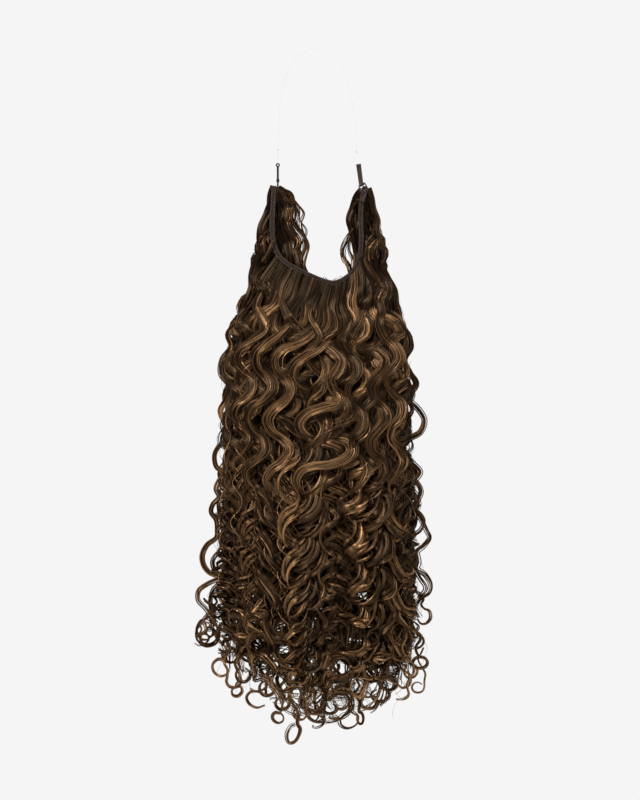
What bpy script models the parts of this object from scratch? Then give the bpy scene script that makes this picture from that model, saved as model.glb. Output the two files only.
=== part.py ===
"""Halo hair extension: a clear wire arch, a thread loop, a strap with its slider, a sewn band and curly hair.

Metres, +Z up, +X to the right and +Y away from the viewer. The origin is the top of the wire's arch, where the
piece hangs. Shares in the tables are of the named sizes that their comments give.
"""

import math

import bmesh
import bpy
from mathutils import Matrix, Vector

# Clearances
SEAT_GAP = 0.0003
WIRE_GAP = 0.00035
SECTION_GAP = 0.0009

# Clear wire: the tail is how far its doubled ends stand above what they pass through
WIRE_DIAMETER = 0.0006
WIRE_TAIL = 0.0125
WIRE_POINTS = 26

# Sewn band: a U whose ends are the two legs' tops
BAND_SPACING = 0.079
BAND_SAG = 0.0853
BAND_WIDTH = 0.0046
BAND_THICKNESS = 0.0028
BAND_TOP = -0.1213
BAND_GROOVE = 0.0005
BAND_STATIONS = 32

# Thread loop at the left end
EYE_THREAD = 0.0011
EYE_HOLE = 0.0015
EYE_HEIGHT = 0.0182
STEM_THREAD = 0.0009
STEM_TURNS = 3.0
KNOT_DIAMETER = 0.0030
NECK_DIAMETER = 0.0015
NECK_OVERLAP = 0.006

# Strap, slider and tab at the right end
STRAP_WIDTH = 0.0042
STRAP_LENGTH = 0.0166
STRAP_THICKNESS = 0.0020
STRAP_WALL = 0.0008
STRAP_LEAN = math.radians(9.0)
SLIDER_BAR = 0.0010
SLIDER_SLOT = 0.0023
SLIDER_SIDE_GAP = 0.0004
SLIDER_TILT = math.radians(28.0)
SLIDER_SET_IN = 0.0008
SLIDER_RISE = 0.0018
TAB_LENGTH = 0.0095

# Hair
HAIR_DROP = 0.487
HAIR_HALF_WIDTH = 0.106
HAIR_HALF_DEPTH = 0.050
TUFT_WIDTH = 0.042
SHOULDER_DROP = 0.027
BODY_SHARE = 0.900
WAVE_RADIUS = 0.0065
WAVE_ROWS = 4
LOCK_GROOVE = 0.0062
LOCK_SWELL = 0.0048
RINGLET_RADIUS = 0.0080
RINGLET_DIAMETER = 0.0056
STRAY_DIAMETER = 0.0052
STRAY_SET_IN = 0.004
STRAY_TUCK = 0.012

TUFT_ROWS = 9
BODY_ROWS = 34

# The band's centre-line: across as a share of BAND_SPACING, down as a share of BAND_SAG
BAND_ROUTE = (
    (-0.474, 0.00),
    (-0.482, 0.17),
    (-0.494, 0.35),
    (-0.486, 0.55),
    (-0.445, 0.68),
    (-0.360, 0.78),
    (-0.218, 0.86),
    (-0.060, 0.93),
    (0.090, 0.985),
    (0.206, 1.00),
    (0.320, 0.955),
    (0.425, 0.865),
    (0.482, 0.74),
    (0.500, 0.55),
    (0.492, 0.35),
    (0.506, 0.15),
    (0.545, 0.00),
)
# Where the middle hair begins and ends on the band, as shares of its route
MIDDLE_START = 0.34
MIDDLE_END = 0.735

# One row for each level of a leg's tuft: down as a share of BAND_SAG, then the tuft's outer and inner
# edges from the leg and its depth behind the band, as shares of TUFT_WIDTH
TUFT_LEVELS = (
    (0.00, 0.05, 0.24, 0.17),
    (0.14, 0.12, 0.38, 0.30),
    (0.30, 0.22, 0.50, 0.42),
    (0.48, 0.36, 0.52, 0.52),
    (0.66, 0.42, 0.40, 0.60),
    (0.80, 0.56, 0.22, 0.66),
)
# One row for each level of the body of hair: down as a share of the way from the shoulder to the body's
# foot, left and right edges as shares of HAIR_HALF_WIDTH, front and back as shares of HAIR_HALF_DEPTH
BODY_LEVELS = (
    (0.00, -0.645, 0.710, 0.34, 0.66),
    (0.08, -0.710, 0.775, 0.50, 0.74),
    (0.22, -0.760, 0.800, 0.70, 0.84),
    (0.40, -0.795, 0.810, 0.84, 0.92),
    (0.62, -0.835, 0.835, 0.94, 0.98),
    (0.80, -0.850, 0.860, 0.96, 1.00),
    (0.92, -0.760, 0.800, 0.84, 0.88),
    (1.00, -0.580, 0.640, 0.58, 0.62),
)
# The walls between the left, middle and right hair, as shares of HAIR_HALF_WIDTH
LEFT_WALL = -0.290
RIGHT_WALL = 0.335
# Roundness of a section: 2 is an ellipse and more is squarer
SECTION_POWER = 2.7
SIDE_LOCKS = 10
MIDDLE_LOCKS = 9

# Ringlets below the body: section, across as a share of HAIR_HALF_WIDTH, depth as a share of
# HAIR_HALF_DEPTH (front is negative), lowest point as a share of HAIR_DROP, turns and hand
RINGLETS = (
    ("left", -0.76, 0.10, 0.885, 1.5, 1),
    ("left", -0.62, -0.42, 0.925, 1.8, -1),
    ("left", -0.46, 0.42, 0.935, 1.6, 1),
    ("left", -0.44, -0.30, 0.955, 1.9, 1),
    ("front", -0.165, -0.42, 1.000, 2.2, -1),
    ("front", 0.020, -0.38, 0.978, 2.0, 1),
    ("front", 0.185, -0.40, 0.968, 2.0, -1),
    ("back", -0.140, 0.42, 0.950, 1.8, 1),
    ("back", 0.190, 0.40, 0.940, 1.8, -1),
    ("right", 0.480, -0.36, 0.957, 1.8, 1),
    ("right", 0.520, 0.36, 0.930, 1.6, -1),
    ("right", 0.640, -0.10, 0.940, 1.7, 1),
    ("right", 0.780, 0.14, 0.915, 1.6, -1),
)
# Loose locks beside the body: section, side, first and last height as shares of the body, how far they
# stand out as a share of TUFT_WIDTH, waves and depth as a share of HAIR_HALF_DEPTH
STRAYS = (
    ("left", -1, 0.36, 0.60, 0.20, 2.5, -0.10),
    ("left", -1, 0.62, 0.98, 0.42, 2.5, 0.05),
    ("right", 1, 0.18, 0.46, 0.26, 2.5, 0.05),
    ("right", 1, 0.58, 0.92, 0.26, 3.5, -0.08),
)
# Loose locks inside the U: section, side, then heights as shares of BAND_SAG and distances from the
# leg as shares of TUFT_WIDTH
INNER_LOCKS = (
    ("left", 1, ((0.20, 0.26), (0.36, 0.62), (0.50, 0.66), (0.62, 0.60), (0.78, 0.72), (0.93, 0.70))),
    ("right", -1, ((0.34, 0.22), (0.52, 0.44), (0.66, 0.50), (0.80, 0.34), (0.92, 0.26))),
)
INNER_LOCK_DEPTH = 0.45

# The wire's route over the arch, left to right: across and down from the origin, chosen by hand
ARCH = (
    (-0.0331, -0.0800),
    (-0.0327, -0.0640),
    (-0.0315, -0.0450),
    (-0.0275, -0.0260),
    (-0.0190, -0.0105),
    (-0.0090, -0.0022),
    (0.0, 0.0),
    (0.0090, -0.0022),
    (0.0188, -0.0105),
    (0.0268, -0.0260),
    (0.0312, -0.0450),
    (0.0336, -0.0640),
    (0.0357, -0.0800),
)

COLOURS = {
    "clear": ((0.90, 0.92, 0.93, 1.0), 0.15, 0.0),
    "thread": ((0.060, 0.040, 0.034, 1.0), 0.85, 0.0),
    "strap": ((0.085, 0.058, 0.050, 1.0), 0.90, 0.0),
    "slider": ((0.045, 0.030, 0.026, 1.0), 0.35, 0.3),
    "band": ((0.075, 0.050, 0.042, 1.0), 0.90, 0.0),
    "hair": ((0.062, 0.032, 0.015, 1.0), 0.42, 0.0),
}


# Small helpers


def clear_scene():
    for old in list(bpy.data.objects):
        bpy.data.objects.remove(old, do_unlink=True)


def collection(name):
    made = bpy.data.collections.new(name)
    bpy.context.scene.collection.children.link(made)
    return made


def material(name):
    found = bpy.data.materials.get(name)
    if found:
        return found
    colour, roughness, metallic = COLOURS[name]
    made = bpy.data.materials.new(name)
    made.use_nodes = True
    shader = made.node_tree.nodes["Principled BSDF"]
    shader.inputs["Base Color"].default_value = colour
    shader.inputs["Roughness"].default_value = roughness
    shader.inputs["Metallic"].default_value = metallic
    made.diffuse_color = colour
    return made


def mix(a, b, t):
    return a + (b - a) * t


def smooth(t):
    t = min(1.0, max(0.0, t))
    return t * t * (3 - 2 * t)


def table_value(rows, key, column):
    """A column of a table at a place between its rows, eased so that the profile has no corners."""
    if key <= rows[0][0]:
        return rows[0][column]
    for low, high in zip(rows, rows[1:]):
        if key <= high[0]:
            return mix(low[column], high[column], smooth((key - low[0]) / (high[0] - low[0])))
    return rows[-1][column]


def spline_through(points, count):
    """Points evenly placed along a Catmull-Rom curve through the given ones."""
    points = [Vector(p) for p in points]
    ends = [2 * points[0] - points[1], *points, 2 * points[-1] - points[-2]]
    fine = []
    steps = 24
    for a, b, c, d in zip(ends, ends[1:], ends[2:], ends[3:]):
        for i in range(steps):
            t = i / steps
            fine.append(
                0.5 * (2 * b + (c - a) * t + (2 * a - 5 * b + 4 * c - d) * t**2
                       + (3 * b - a - 3 * c + d) * t**3)
            )
    fine.append(points[-1])
    lengths = [0.0]
    for a, b in zip(fine, fine[1:]):
        lengths.append(lengths[-1] + (b - a).length)
    placed, at = [], 0
    for i in range(count):
        want = lengths[-1] * i / (count - 1)
        while at < len(fine) - 2 and lengths[at + 1] < want:
            at += 1
        span = max(lengths[at + 1] - lengths[at], 1e-12)
        placed.append(fine[at].lerp(fine[at + 1], (want - lengths[at]) / span))
    return placed


def tube(name, points, diameter, home, sides_level=2, shares=None):
    """A curve object along the points, with a round bevel and filled caps. shares tapers its radius."""
    data = bpy.data.curves.new(name, "CURVE")
    data.dimensions = "3D"
    data.bevel_depth = diameter / 2
    data.bevel_resolution = sides_level
    data.use_fill_caps = True
    data.twist_mode = "MINIMUM"
    spline = data.splines.new("POLY")
    spline.points.add(len(points) - 1)
    for i, point in enumerate(points):
        spline.points[i].co = (*point, 1.0)
        spline.points[i].radius = shares[i] if shares else 1.0
    made = bpy.data.objects.new(name, data)
    home.objects.link(made)
    return made


def as_mesh(curve, home):
    """The curve as a welded mesh object of the same name and place; the curve is removed."""
    bpy.context.view_layer.update()
    graph = bpy.context.evaluated_depsgraph_get()
    mesh = bpy.data.meshes.new_from_object(curve.evaluated_get(graph))
    name, place = curve.name, curve.matrix_world.copy()
    bpy.data.objects.remove(curve, do_unlink=True)
    cage = bmesh.new()
    cage.from_mesh(mesh)
    bmesh.ops.remove_doubles(cage, verts=cage.verts, dist=1e-6)
    bmesh.ops.recalc_face_normals(cage, faces=cage.faces)
    cage.to_mesh(mesh)
    cage.free()
    made = bpy.data.objects.new(name, mesh)
    made.matrix_world = place
    home.objects.link(made)
    return made


def outline_solid(name, loops, thickness, home):
    """A flat outline, with any holes as further loops, extruded evenly to both sides of its plane."""
    data = bpy.data.curves.new(name, "CURVE")
    data.dimensions = "2D"
    data.fill_mode = "BOTH"
    data.extrude = thickness / 2
    for loop in loops:
        spline = data.splines.new("POLY")
        spline.points.add(len(loop) - 1)
        for point, (x, y) in zip(spline.points, loop):
            point.co = (x, y, 0.0, 1.0)
        spline.use_cyclic_u = True
    made = bpy.data.objects.new(name, data)
    home.objects.link(made)
    return as_mesh(made, home)


def arc(centre, radius, start, stop, steps):
    angles = [mix(start, stop, i / steps) for i in range(steps + 1)]
    return [(centre[0] + radius * math.cos(a), centre[1] + radius * math.sin(a)) for a in angles]


def rounded_box(width, height, radius, centre=(0.0, 0.0), steps=3):
    loop = []
    for k, (sx, sy) in enumerate(((1, 1), (-1, 1), (-1, -1), (1, -1))):
        corner = (centre[0] + sx * (width / 2 - radius), centre[1] + sy * (height / 2 - radius))
        loop += arc(corner, radius, k * math.pi / 2, (k + 1) * math.pi / 2, steps)
    return loop


def ring_loft(name, rings, home):
    """A closed solid through rings of equal counts. Each ring runs left, front, right, back. A level ring
    is capped by one face, and an arched one by strips from each front point to the back point behind it."""
    cage = bmesh.new()
    rows = [[cage.verts.new(p) for p in ring] for ring in rings]
    count = len(rows[0])
    for upper, lower in zip(rows, rows[1:]):
        for i in range(count):
            j = (i + 1) % count
            cage.faces.new((upper[i], lower[i], lower[j], upper[j]))
    for row in (rows[0], rows[-1]):
        heights = [vertex.co.z for vertex in row]
        if max(heights) - min(heights) < 1e-6:
            cage.faces.new(row)
            continue
        for i in range(count // 2):
            corners = [row[i], row[i + 1], row[(count - i - 1) % count], row[(count - i) % count]]
            cage.faces.new(list(dict.fromkeys(corners)))
    bmesh.ops.recalc_face_normals(cage, faces=cage.faces)
    mesh = bpy.data.meshes.new(name)
    cage.to_mesh(mesh)
    cage.free()
    made = bpy.data.objects.new(name, mesh)
    home.objects.link(made)
    return made


def join_solids(base, others, home):
    """Fuses the others into the base with one Boolean union each, applied in turn."""
    for other in others:
        union = base.modifiers.new("union", "BOOLEAN")
        union.operation = "UNION"
        union.solver = "EXACT"
        union.object = other
        bpy.context.view_layer.update()
        graph = bpy.context.evaluated_depsgraph_get()
        fused = bpy.data.meshes.new_from_object(base.evaluated_get(graph))
        base.modifiers.clear()
        old = base.data
        base.data = fused
        bpy.data.meshes.remove(old)
        bpy.data.objects.remove(other, do_unlink=True)
    return base


def finish(made, material_name, flat=False):
    made.data.materials.clear()
    made.data.materials.append(material(material_name))
    if made.type == "MESH" and not flat:
        made.data.shade_smooth()
        made.data.set_sharp_from_angle(angle=math.radians(40))
    return made


# Band


def band_route(count=BAND_STATIONS):
    """The band's centre-line, from the left leg's top round to the right leg's."""
    points = [(x * BAND_SPACING, 0.0, BAND_TOP - down * BAND_SAG) for x, down in BAND_ROUTE]
    return spline_through(points, count)


def leg_across(side, height):
    """Where a leg's centre-line is at a height; below the leg it keeps the leg's lowest place."""
    route = band_route(160)
    leg = route[:80] if side < 0 else route[:79:-1]
    for upper, lower in zip(leg, leg[1:]):
        if upper.z >= height >= lower.z:
            share = (upper.z - height) / max(upper.z - lower.z, 1e-9)
            return mix(upper.x, lower.x, share)
    return leg[0].x if height > leg[0].z else leg[-1].x


def band_height(across):
    """The height of the band's centre-line on its lower stretch, and its slope there."""
    route = band_route(160)
    low = [p for p in route[int(160 * 0.28) : int(160 * 0.80)]]
    for a, b in zip(low, low[1:]):
        if a.x <= across <= b.x:
            share = (across - a.x) / max(b.x - a.x, 1e-9)
            return mix(a.z, b.z, share), (b.z - a.z) / max(b.x - a.x, 1e-9)
    nearest = min(low, key=lambda p: abs(p.x - across))
    return nearest.z, 0.0


def make_band(home):
    """Two sewn ridges with a groove between them, swept round the U."""
    half, thick = BAND_WIDTH / 2, BAND_THICKNESS / 2
    groove = thick - BAND_GROOVE
    front = ((-1.0, 0.0), (-0.85, -0.75), (-0.5, -1.0), (-0.12, -1.0), (0.0, 0.0),
             (0.12, -1.0), (0.5, -1.0), (0.85, -0.75), (1.0, 0.0))
    section = []
    for across, depth in front[:-1]:
        section.append((across * half, -groove if across == 0.0 else depth * thick))
    section += [(-across, -depth) for across, depth in section]
    route = band_route()
    cage = bmesh.new()
    rows = []
    for i, point in enumerate(route):
        before, after = route[max(i - 1, 0)], route[min(i + 1, len(route) - 1)]
        tangent = (after - before).normalized()
        across = Vector((tangent.z, 0.0, -tangent.x))
        rows.append([cage.verts.new(point + across * a + Vector((0, d, 0))) for a, d in section])
    for a, b in zip(rows, rows[1:]):
        for i in range(len(section)):
            j = (i + 1) % len(section)
            cage.faces.new((a[i], a[j], b[j], b[i]))
    cage.faces.new(rows[0])
    cage.faces.new(rows[-1])
    bmesh.ops.recalc_face_normals(cage, faces=cage.faces)
    mesh = bpy.data.meshes.new("weft_band")
    cage.to_mesh(mesh)
    cage.free()
    made = bpy.data.objects.new("weft_band", mesh)
    home.objects.link(made)
    return finish(made, "band")


# Thread loop at the band's left end


def loop_axis():
    """Where the thread loop's axis crosses the level of the band's end, beside the band's inner edge."""
    beside = BAND_WIDTH / 2 + SEAT_GAP + NECK_DIAMETER / 2
    lean = max(abs(leg_across(-1, BAND_TOP - NECK_OVERLAP * t) - leg_across(-1, BAND_TOP)) for t in (0, 1))
    return leg_across(-1, BAND_TOP) + beside + lean / 4


def eye_centre():
    return Vector((loop_axis(), 0.0, BAND_TOP + EYE_HEIGHT))


def make_thread_loop(home):
    """An eye on a stem of two twisted threads, with a knot and a neck that runs down beside the band."""
    centre = eye_centre()
    ring_radius = (EYE_HOLE + EYE_THREAD) / 2
    bpy.ops.mesh.primitive_torus_add(
        major_radius=ring_radius, minor_radius=EYE_THREAD / 2, major_segments=16, minor_segments=6,
        location=centre, rotation=(math.pi / 2, 0.0, 0.0),
    )
    eye = bpy.context.object
    eye.name = "thread_loop"
    for old in list(eye.users_collection):
        old.objects.unlink(eye)
    home.objects.link(eye)
    knot_height = BAND_TOP + KNOT_DIAMETER * 1.6
    top = centre.z - ring_radius
    threads = []
    for turn in (0.0, math.pi):
        points = []
        for i in range(15):
            t = i / 14
            angle = turn + 2 * math.pi * STEM_TURNS * t
            swing = STEM_THREAD * 0.42
            points.append((centre.x + swing * math.cos(angle), swing * math.sin(angle),
                           mix(top, knot_height, t)))
        threads.append(as_mesh(tube("stem", points, STEM_THREAD, home, 0), home))
    bpy.ops.mesh.primitive_uv_sphere_add(
        segments=10, ring_count=7, radius=KNOT_DIAMETER / 2, location=(centre.x, 0.0, knot_height),
        scale=(1.0, 0.8, 1.15),
    )
    knot = bpy.context.object
    neck_top, neck_foot = knot_height, BAND_TOP - NECK_OVERLAP
    bpy.ops.mesh.primitive_cylinder_add(
        vertices=10, radius=NECK_DIAMETER / 2, depth=neck_top - neck_foot,
        location=(centre.x, 0.0, (neck_top + neck_foot) / 2),
    )
    neck = bpy.context.object
    return finish(join_solids(eye, [*threads, knot, neck], home), "thread")


# Strap, slider and tab at the band's right end


def strap_plane():
    """The depth of the strap's middle, where the tab lies on the band's front face."""
    return -(BAND_THICKNESS / 2 + SEAT_GAP + bulb_radius())


def bar_hole_radius():
    return SLIDER_BAR * 0.6 + SEAT_GAP


def bulb_radius():
    return bar_hole_radius() + STRAP_WALL


def slider_centre():
    across = leg_across(1, BAND_TOP) - SLIDER_SET_IN - STRAP_WIDTH / 4
    return Vector((across, strap_plane(), BAND_TOP - SLIDER_RISE))


def bar_centre(direction):
    """The centre of the slider's top bar (1) or bottom bar (-1)."""
    pitch = SLIDER_BAR + SLIDER_SLOT
    away = Vector((-math.sin(SLIDER_TILT), 0.0, math.cos(SLIDER_TILT)))
    return slider_centre() + away * pitch * direction


def make_slider(home):
    """A flat figure-of-eight frame: three bars, two slots."""
    inner = STRAP_WIDTH + 2 * SLIDER_SIDE_GAP
    outer = inner + 2 * SLIDER_BAR
    height = 3 * SLIDER_BAR + 2 * SLIDER_SLOT
    pitch = (SLIDER_BAR + SLIDER_SLOT) / 2
    loops = [rounded_box(outer, height, SLIDER_BAR * 1.1)]
    for side in (-1, 1):
        loops.append(rounded_box(inner, SLIDER_SLOT, SLIDER_BAR * 0.4, (0.0, side * pitch), 2))
    made = outline_solid("slider", loops, SLIDER_BAR, home)
    bevel = made.modifiers.new("edges", "BEVEL")
    bevel.width = SLIDER_BAR * 0.25
    bevel.segments = 1
    bevel.limit_method = "ANGLE"
    made.matrix_world = (
        Matrix.Translation(slider_centre())
        @ Matrix.Rotation(-SLIDER_TILT, 4, "Y")
        @ Matrix.Rotation(math.pi / 2, 4, "X")
    )
    return finish(made, "slider")


def strap_solid(name, length, foot_hole, top_hole, place, lean, turn_foot, turn_top, home):
    """A doubled strap: a slab with a round hem at each end that has a hole, seen from its edge and
    extruded across its width. A hem is turned about its hole's middle so that the hole follows a bar."""
    half = STRAP_THICKNESS / 2
    loop = []
    for at, hole, start in ((0.0, foot_hole, math.pi), (length, top_hole, 0.0)):
        if hole:
            radius = hole + STRAP_WALL
            flat = math.acos(min(0.95, half / radius))
            loop += arc((0.0, at), radius, start - flat, start + math.pi + flat, 9)
        else:
            step = -half if at == 0.0 else half
            loop += [(step, at), (-step, at)]
    loops = [loop]
    for at, hole in ((0.0, foot_hole), (length, top_hole)):
        if hole:
            loops.append(arc((0.0, at), hole, 0.0, 2 * math.pi * 9 / 10, 9))
    made = outline_solid(name, loops, STRAP_WIDTH, home)
    for vertex in made.data.vertices:
        depth, up, across = vertex.co
        turn, centre = (turn_foot, 0.0) if up < length / 2 else (turn_top, length)
        up -= centre
        vertex.co = (across * math.cos(turn) - up * math.sin(turn), depth,
                     centre + across * math.sin(turn) + up * math.cos(turn))
    cage = bmesh.new()
    cage.from_mesh(made.data)
    bmesh.ops.recalc_face_normals(cage, faces=cage.faces)
    cage.to_mesh(made.data)
    cage.free()
    made.matrix_world = Matrix.Translation(place) @ Matrix.Rotation(-lean, 4, "Y")
    return finish(made, "strap")


def strap_top():
    """The centre of the hem that the wire passes through."""
    return bar_centre(1) + Vector((-math.sin(STRAP_LEAN), 0.0, math.cos(STRAP_LEAN))) * STRAP_LENGTH


def wire_hole_radius():
    return WIRE_DIAMETER / 2 + WIRE_GAP


def make_strap(home):
    skew = SLIDER_TILT - STRAP_LEAN
    return strap_solid("strap", STRAP_LENGTH, bar_hole_radius(), wire_hole_radius(),
                       bar_centre(1), STRAP_LEAN, skew, 0.0, home)


def make_tab(home):
    """The short doubled strap from the slider's bottom bar down the front of the band."""
    top = bar_centre(-1)
    foot_height = top.z - TAB_LENGTH
    foot = Vector((leg_across(1, foot_height), top.y, foot_height))
    lean = math.atan2(foot.x - top.x, top.z - foot.z)
    return strap_solid("strap_tab", (top - foot).length, 0.0, bar_hole_radius(), foot, lean,
                       0.0, SLIDER_TILT - lean, home)


# Wire


def wire_points():
    """From the tail behind the eye, through the eye, over the arch and through the strap's hem."""
    eye = eye_centre()
    wrap = EYE_THREAD / 2 + WIRE_GAP + WIRE_DIAMETER / 2
    hang = Vector((eye.x, 0.0, eye.z + (EYE_HOLE + EYE_THREAD) / 2))
    apart = WIRE_DIAMETER * 1.35
    points = [hang + Vector((0.0, apart, WIRE_TAIL)), hang + Vector((0.0, apart * 1.15, WIRE_TAIL * 0.48))]
    for i in range(7):
        angle = math.pi * i / 6
        points.append(hang + Vector((0.0, wrap * math.cos(angle), -wrap * math.sin(angle))))
    points += [hang + Vector((0.0, -wrap * 0.75, WIRE_TAIL * 0.4)), hang + Vector((0.0, 0.0, WIRE_TAIL * 0.96))]
    depth = strap_plane()
    arch = [(x, depth * smooth(x / ARCH[-1][0]) if x > 0 else 0.0, z) for x, z in ARCH]
    points += spline_through(arch, WIRE_POINTS)
    hem = strap_top()
    across = Vector((math.cos(STRAP_LEAN), 0.0, math.sin(STRAP_LEAN)))
    up = Vector((-math.sin(STRAP_LEAN), 0.0, math.cos(STRAP_LEAN)))
    turn = WIRE_DIAMETER * 2.2
    reach = STRAP_WIDTH / 2 + WIRE_DIAMETER
    half = [(apart / 2, WIRE_TAIL), (reach * 0.5, WIRE_TAIL * 0.68), (reach + turn * 0.75, WIRE_TAIL / 3)]
    half += [(reach + turn * math.cos(math.pi * t), turn * (1 - math.sin(math.pi * t))) for t in (0.0, 0.17, 0.33, 0.5)]
    points += [hem - across * a + up * b for a, b in half]
    points += [hem + across * a + up * b for a, b in reversed(half)]
    return points


def make_wire(home):
    return finish(tube("halo_wire", wire_points(), WIRE_DIAMETER, home), "clear")


# Hair


def seat_depth():
    """The front of the hair that is sewn to the band's back."""
    return BAND_THICKNESS / 2 + SEAT_GAP


def split_depth():
    """The middle of the gap between the front and back hair."""
    return seat_depth() - SECTION_GAP / 2


def shoulder_height():
    return BAND_TOP - BAND_SAG - SHOULDER_DROP


def foot_height():
    return BAND_TOP - HAIR_DROP * BODY_SHARE


def levels():
    """Heights of the rows, evenly spaced from the band's ends to the shoulder and on to the foot."""
    upper = [mix(BAND_TOP, shoulder_height(), i / TUFT_ROWS) for i in range(TUFT_ROWS)]
    lower = [mix(shoulder_height(), foot_height(), i / BODY_ROWS) for i in range(BODY_ROWS + 1)]
    return upper, lower


def wave_length():
    return (shoulder_height() - foot_height()) / BODY_ROWS * WAVE_ROWS


def wave_phase(x, z):
    return 2 * math.pi * ((BAND_TOP - z) / wave_length() + 0.9 * x / HAIR_HALF_WIDTH)


def curl(point):
    """Moves a point of the straight hair along the shared wave, which keeps neighbouring hair apart."""
    x, y, z = point
    lowest_band = BAND_TOP - BAND_SAG
    strength = WAVE_RADIUS * smooth((lowest_band - z) / (2.6 * SHOULDER_DROP))
    phase = wave_phase(x, z)
    return (x + strength * math.sin(phase), y + 0.5 * strength * math.cos(phase), z)


def body_share(z):
    return (shoulder_height() - z) / (shoulder_height() - foot_height())


def body_box(section, z):
    """Left, right, front and back of a section of the body of hair at a height."""
    share = body_share(z)
    left = table_value(BODY_LEVELS, share, 1) * HAIR_HALF_WIDTH
    right = table_value(BODY_LEVELS, share, 2) * HAIR_HALF_WIDTH
    front = split_depth() - table_value(BODY_LEVELS, share, 3) * HAIR_HALF_DEPTH
    back = split_depth() + table_value(BODY_LEVELS, share, 4) * HAIR_HALF_DEPTH
    narrow = 1 - 0.22 * smooth((share - 0.8) / 0.2)
    left_wall, right_wall = LEFT_WALL * HAIR_HALF_WIDTH, RIGHT_WALL * HAIR_HALF_WIDTH
    gap = SECTION_GAP / 2
    side_narrow = 0.94
    if section == "left":
        return left, left_wall - gap, front * side_narrow * narrow, back * side_narrow * narrow
    if section == "right":
        return right_wall + gap, right, front * side_narrow * narrow, back * side_narrow * narrow
    if section == "front":
        return left_wall + gap, right_wall - gap, front * narrow, split_depth() - gap
    return left_wall + gap, right_wall - gap, split_depth() + gap, back * narrow


def tuft_box(section, z):
    """The same for the hair beside a leg of the band, which passes into the body at the shoulder."""
    side = -1 if section == "left" else 1
    share = (BAND_TOP - z) / BAND_SAG
    leg = leg_across(side, max(z, BAND_TOP - 0.6 * BAND_SAG))
    outer = leg + side * table_value(TUFT_LEVELS, share, 1) * TUFT_WIDTH
    inner = leg - side * table_value(TUFT_LEVELS, share, 2) * TUFT_WIDTH
    back = seat_depth() + table_value(TUFT_LEVELS, share, 3) * TUFT_WIDTH
    front = seat_depth()
    below = body_box(section, shoulder_height())
    last = TUFT_LEVELS[-2][0]
    blend = smooth((share - last) / ((BAND_SAG + SHOULDER_DROP) / BAND_SAG - last))
    wall = below[1] if side < 0 else below[0]
    edge = below[0] if side < 0 else below[1]
    wall_blend = smooth((share - 0.45) / 0.22)
    inner, outer = mix(inner, wall, wall_blend), mix(outer, edge, blend)
    forward = smooth((share - 0.97) / ((BAND_SAG + SHOULDER_DROP) / BAND_SAG - 0.97))
    box = (outer, inner) if side < 0 else (inner, outer)
    return (*box, mix(front, below[2], forward), mix(back, below[3], blend))


def signed_power(value, power):
    return math.copysign(abs(value) ** power, value)


def section_ring(box, locks, height, turn):
    """A ring of two points for each lock, its crest and its groove, in a rounded box."""
    left, right, front, back = box
    half_x, half_y = (right - left) / 2, (back - front) / 2
    groove = min(LOCK_GROOVE, 0.3 * min(half_x, half_y))
    swell = min(LOCK_SWELL, 0.3 * min(half_x, half_y))
    points = []
    for i in range(2 * locks):
        angle = math.pi + math.pi * i / locks
        across = signed_power(math.cos(angle), 2 / SECTION_POWER)
        deep = signed_power(math.sin(angle), 2 / SECTION_POWER)
        facing = math.sin(angle) ** 2
        inward = groove * mix(0.35, 1.0, facing) if i % 2 else 0.0
        inward += swell * facing * (0.5 - 0.5 * math.cos(turn + 2.1 * (i // 2)))
        away = max(1e-6, math.hypot(across * half_x, deep * half_y))
        scale = 1 - inward / away
        x = (left + right) / 2 + across * half_x * scale
        y = (front + back) / 2 + deep * half_y * scale
        points.append((x, y, height(x) if callable(height) else height))
    return points


def lock_turn(z):
    return 2 * math.pi * (BAND_TOP - z) / wave_length()


def side_rings(section):
    upper, lower = levels()
    rings = [section_ring(tuft_box(section, z), SIDE_LOCKS, z, lock_turn(z)) for z in upper]
    rings += [section_ring(body_box(section, z), SIDE_LOCKS, z, lock_turn(z)) for z in lower]
    return [[curl(p) for p in ring] for ring in rings]


def middle_rings(section):
    """The front hair begins under the band's lower edge and the back hair behind the band."""
    route = band_route(160)
    first = route[int(160 * MIDDLE_START)].x
    last = route[int(160 * MIDDLE_END)].x
    below = body_box(section, shoulder_height())
    depth = BAND_THICKNESS * 1.1
    if section == "front":
        top_box = (first, last, below[3] - depth, below[3])
    else:
        top_box = (first, last, below[2], below[2] + 2 * depth)
    rows = TUFT_ROWS // 2
    rings = []
    for j in range(rows):
        share = j / rows
        box = [mix(a, b, smooth(share) if k < 2 else share**1.3)
               for k, (a, b) in enumerate(zip(top_box, below))]

        def height(x, share=share):
            centre, slope = band_height(min(last, max(first, x)))
            drop = 0.0
            if section == "front":
                drop = BAND_WIDTH / 2 * math.hypot(1.0, slope) + 5 * SEAT_GAP
            return mix(centre - drop, shoulder_height(), share)

        rings.append(section_ring(box, MIDDLE_LOCKS, height, lock_turn(shoulder_height())))
    rings += [section_ring(body_box(section, z), MIDDLE_LOCKS, z, lock_turn(z)) for z in levels()[1]]
    return [[curl(p) for p in ring] for ring in rings]


def ringlet_points(across, depth, lowest, turns, hand):
    """A lock that leaves the body's foot inside it and ends in a widening corkscrew."""
    x, y = across * HAIR_HALF_WIDTH, depth * HAIR_HALF_DEPTH
    start = foot_height() + 0.075 * HAIR_DROP
    end = BAND_TOP - lowest * HAIR_DROP + RINGLET_DIAMETER * 0.4
    steps = max(8, round(7 * turns))
    points, shares = [], []
    for i in range(steps + 1):
        t = i / steps
        z = mix(start, end, t)
        swing = RINGLET_RADIUS * smooth(t / 0.45)
        angle = hand * 2 * math.pi * turns * t
        points.append((x + swing * math.cos(angle), y + swing * math.sin(angle), z))
        shares.append(1.0 - 0.45 * t)
    return points, shares


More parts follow.
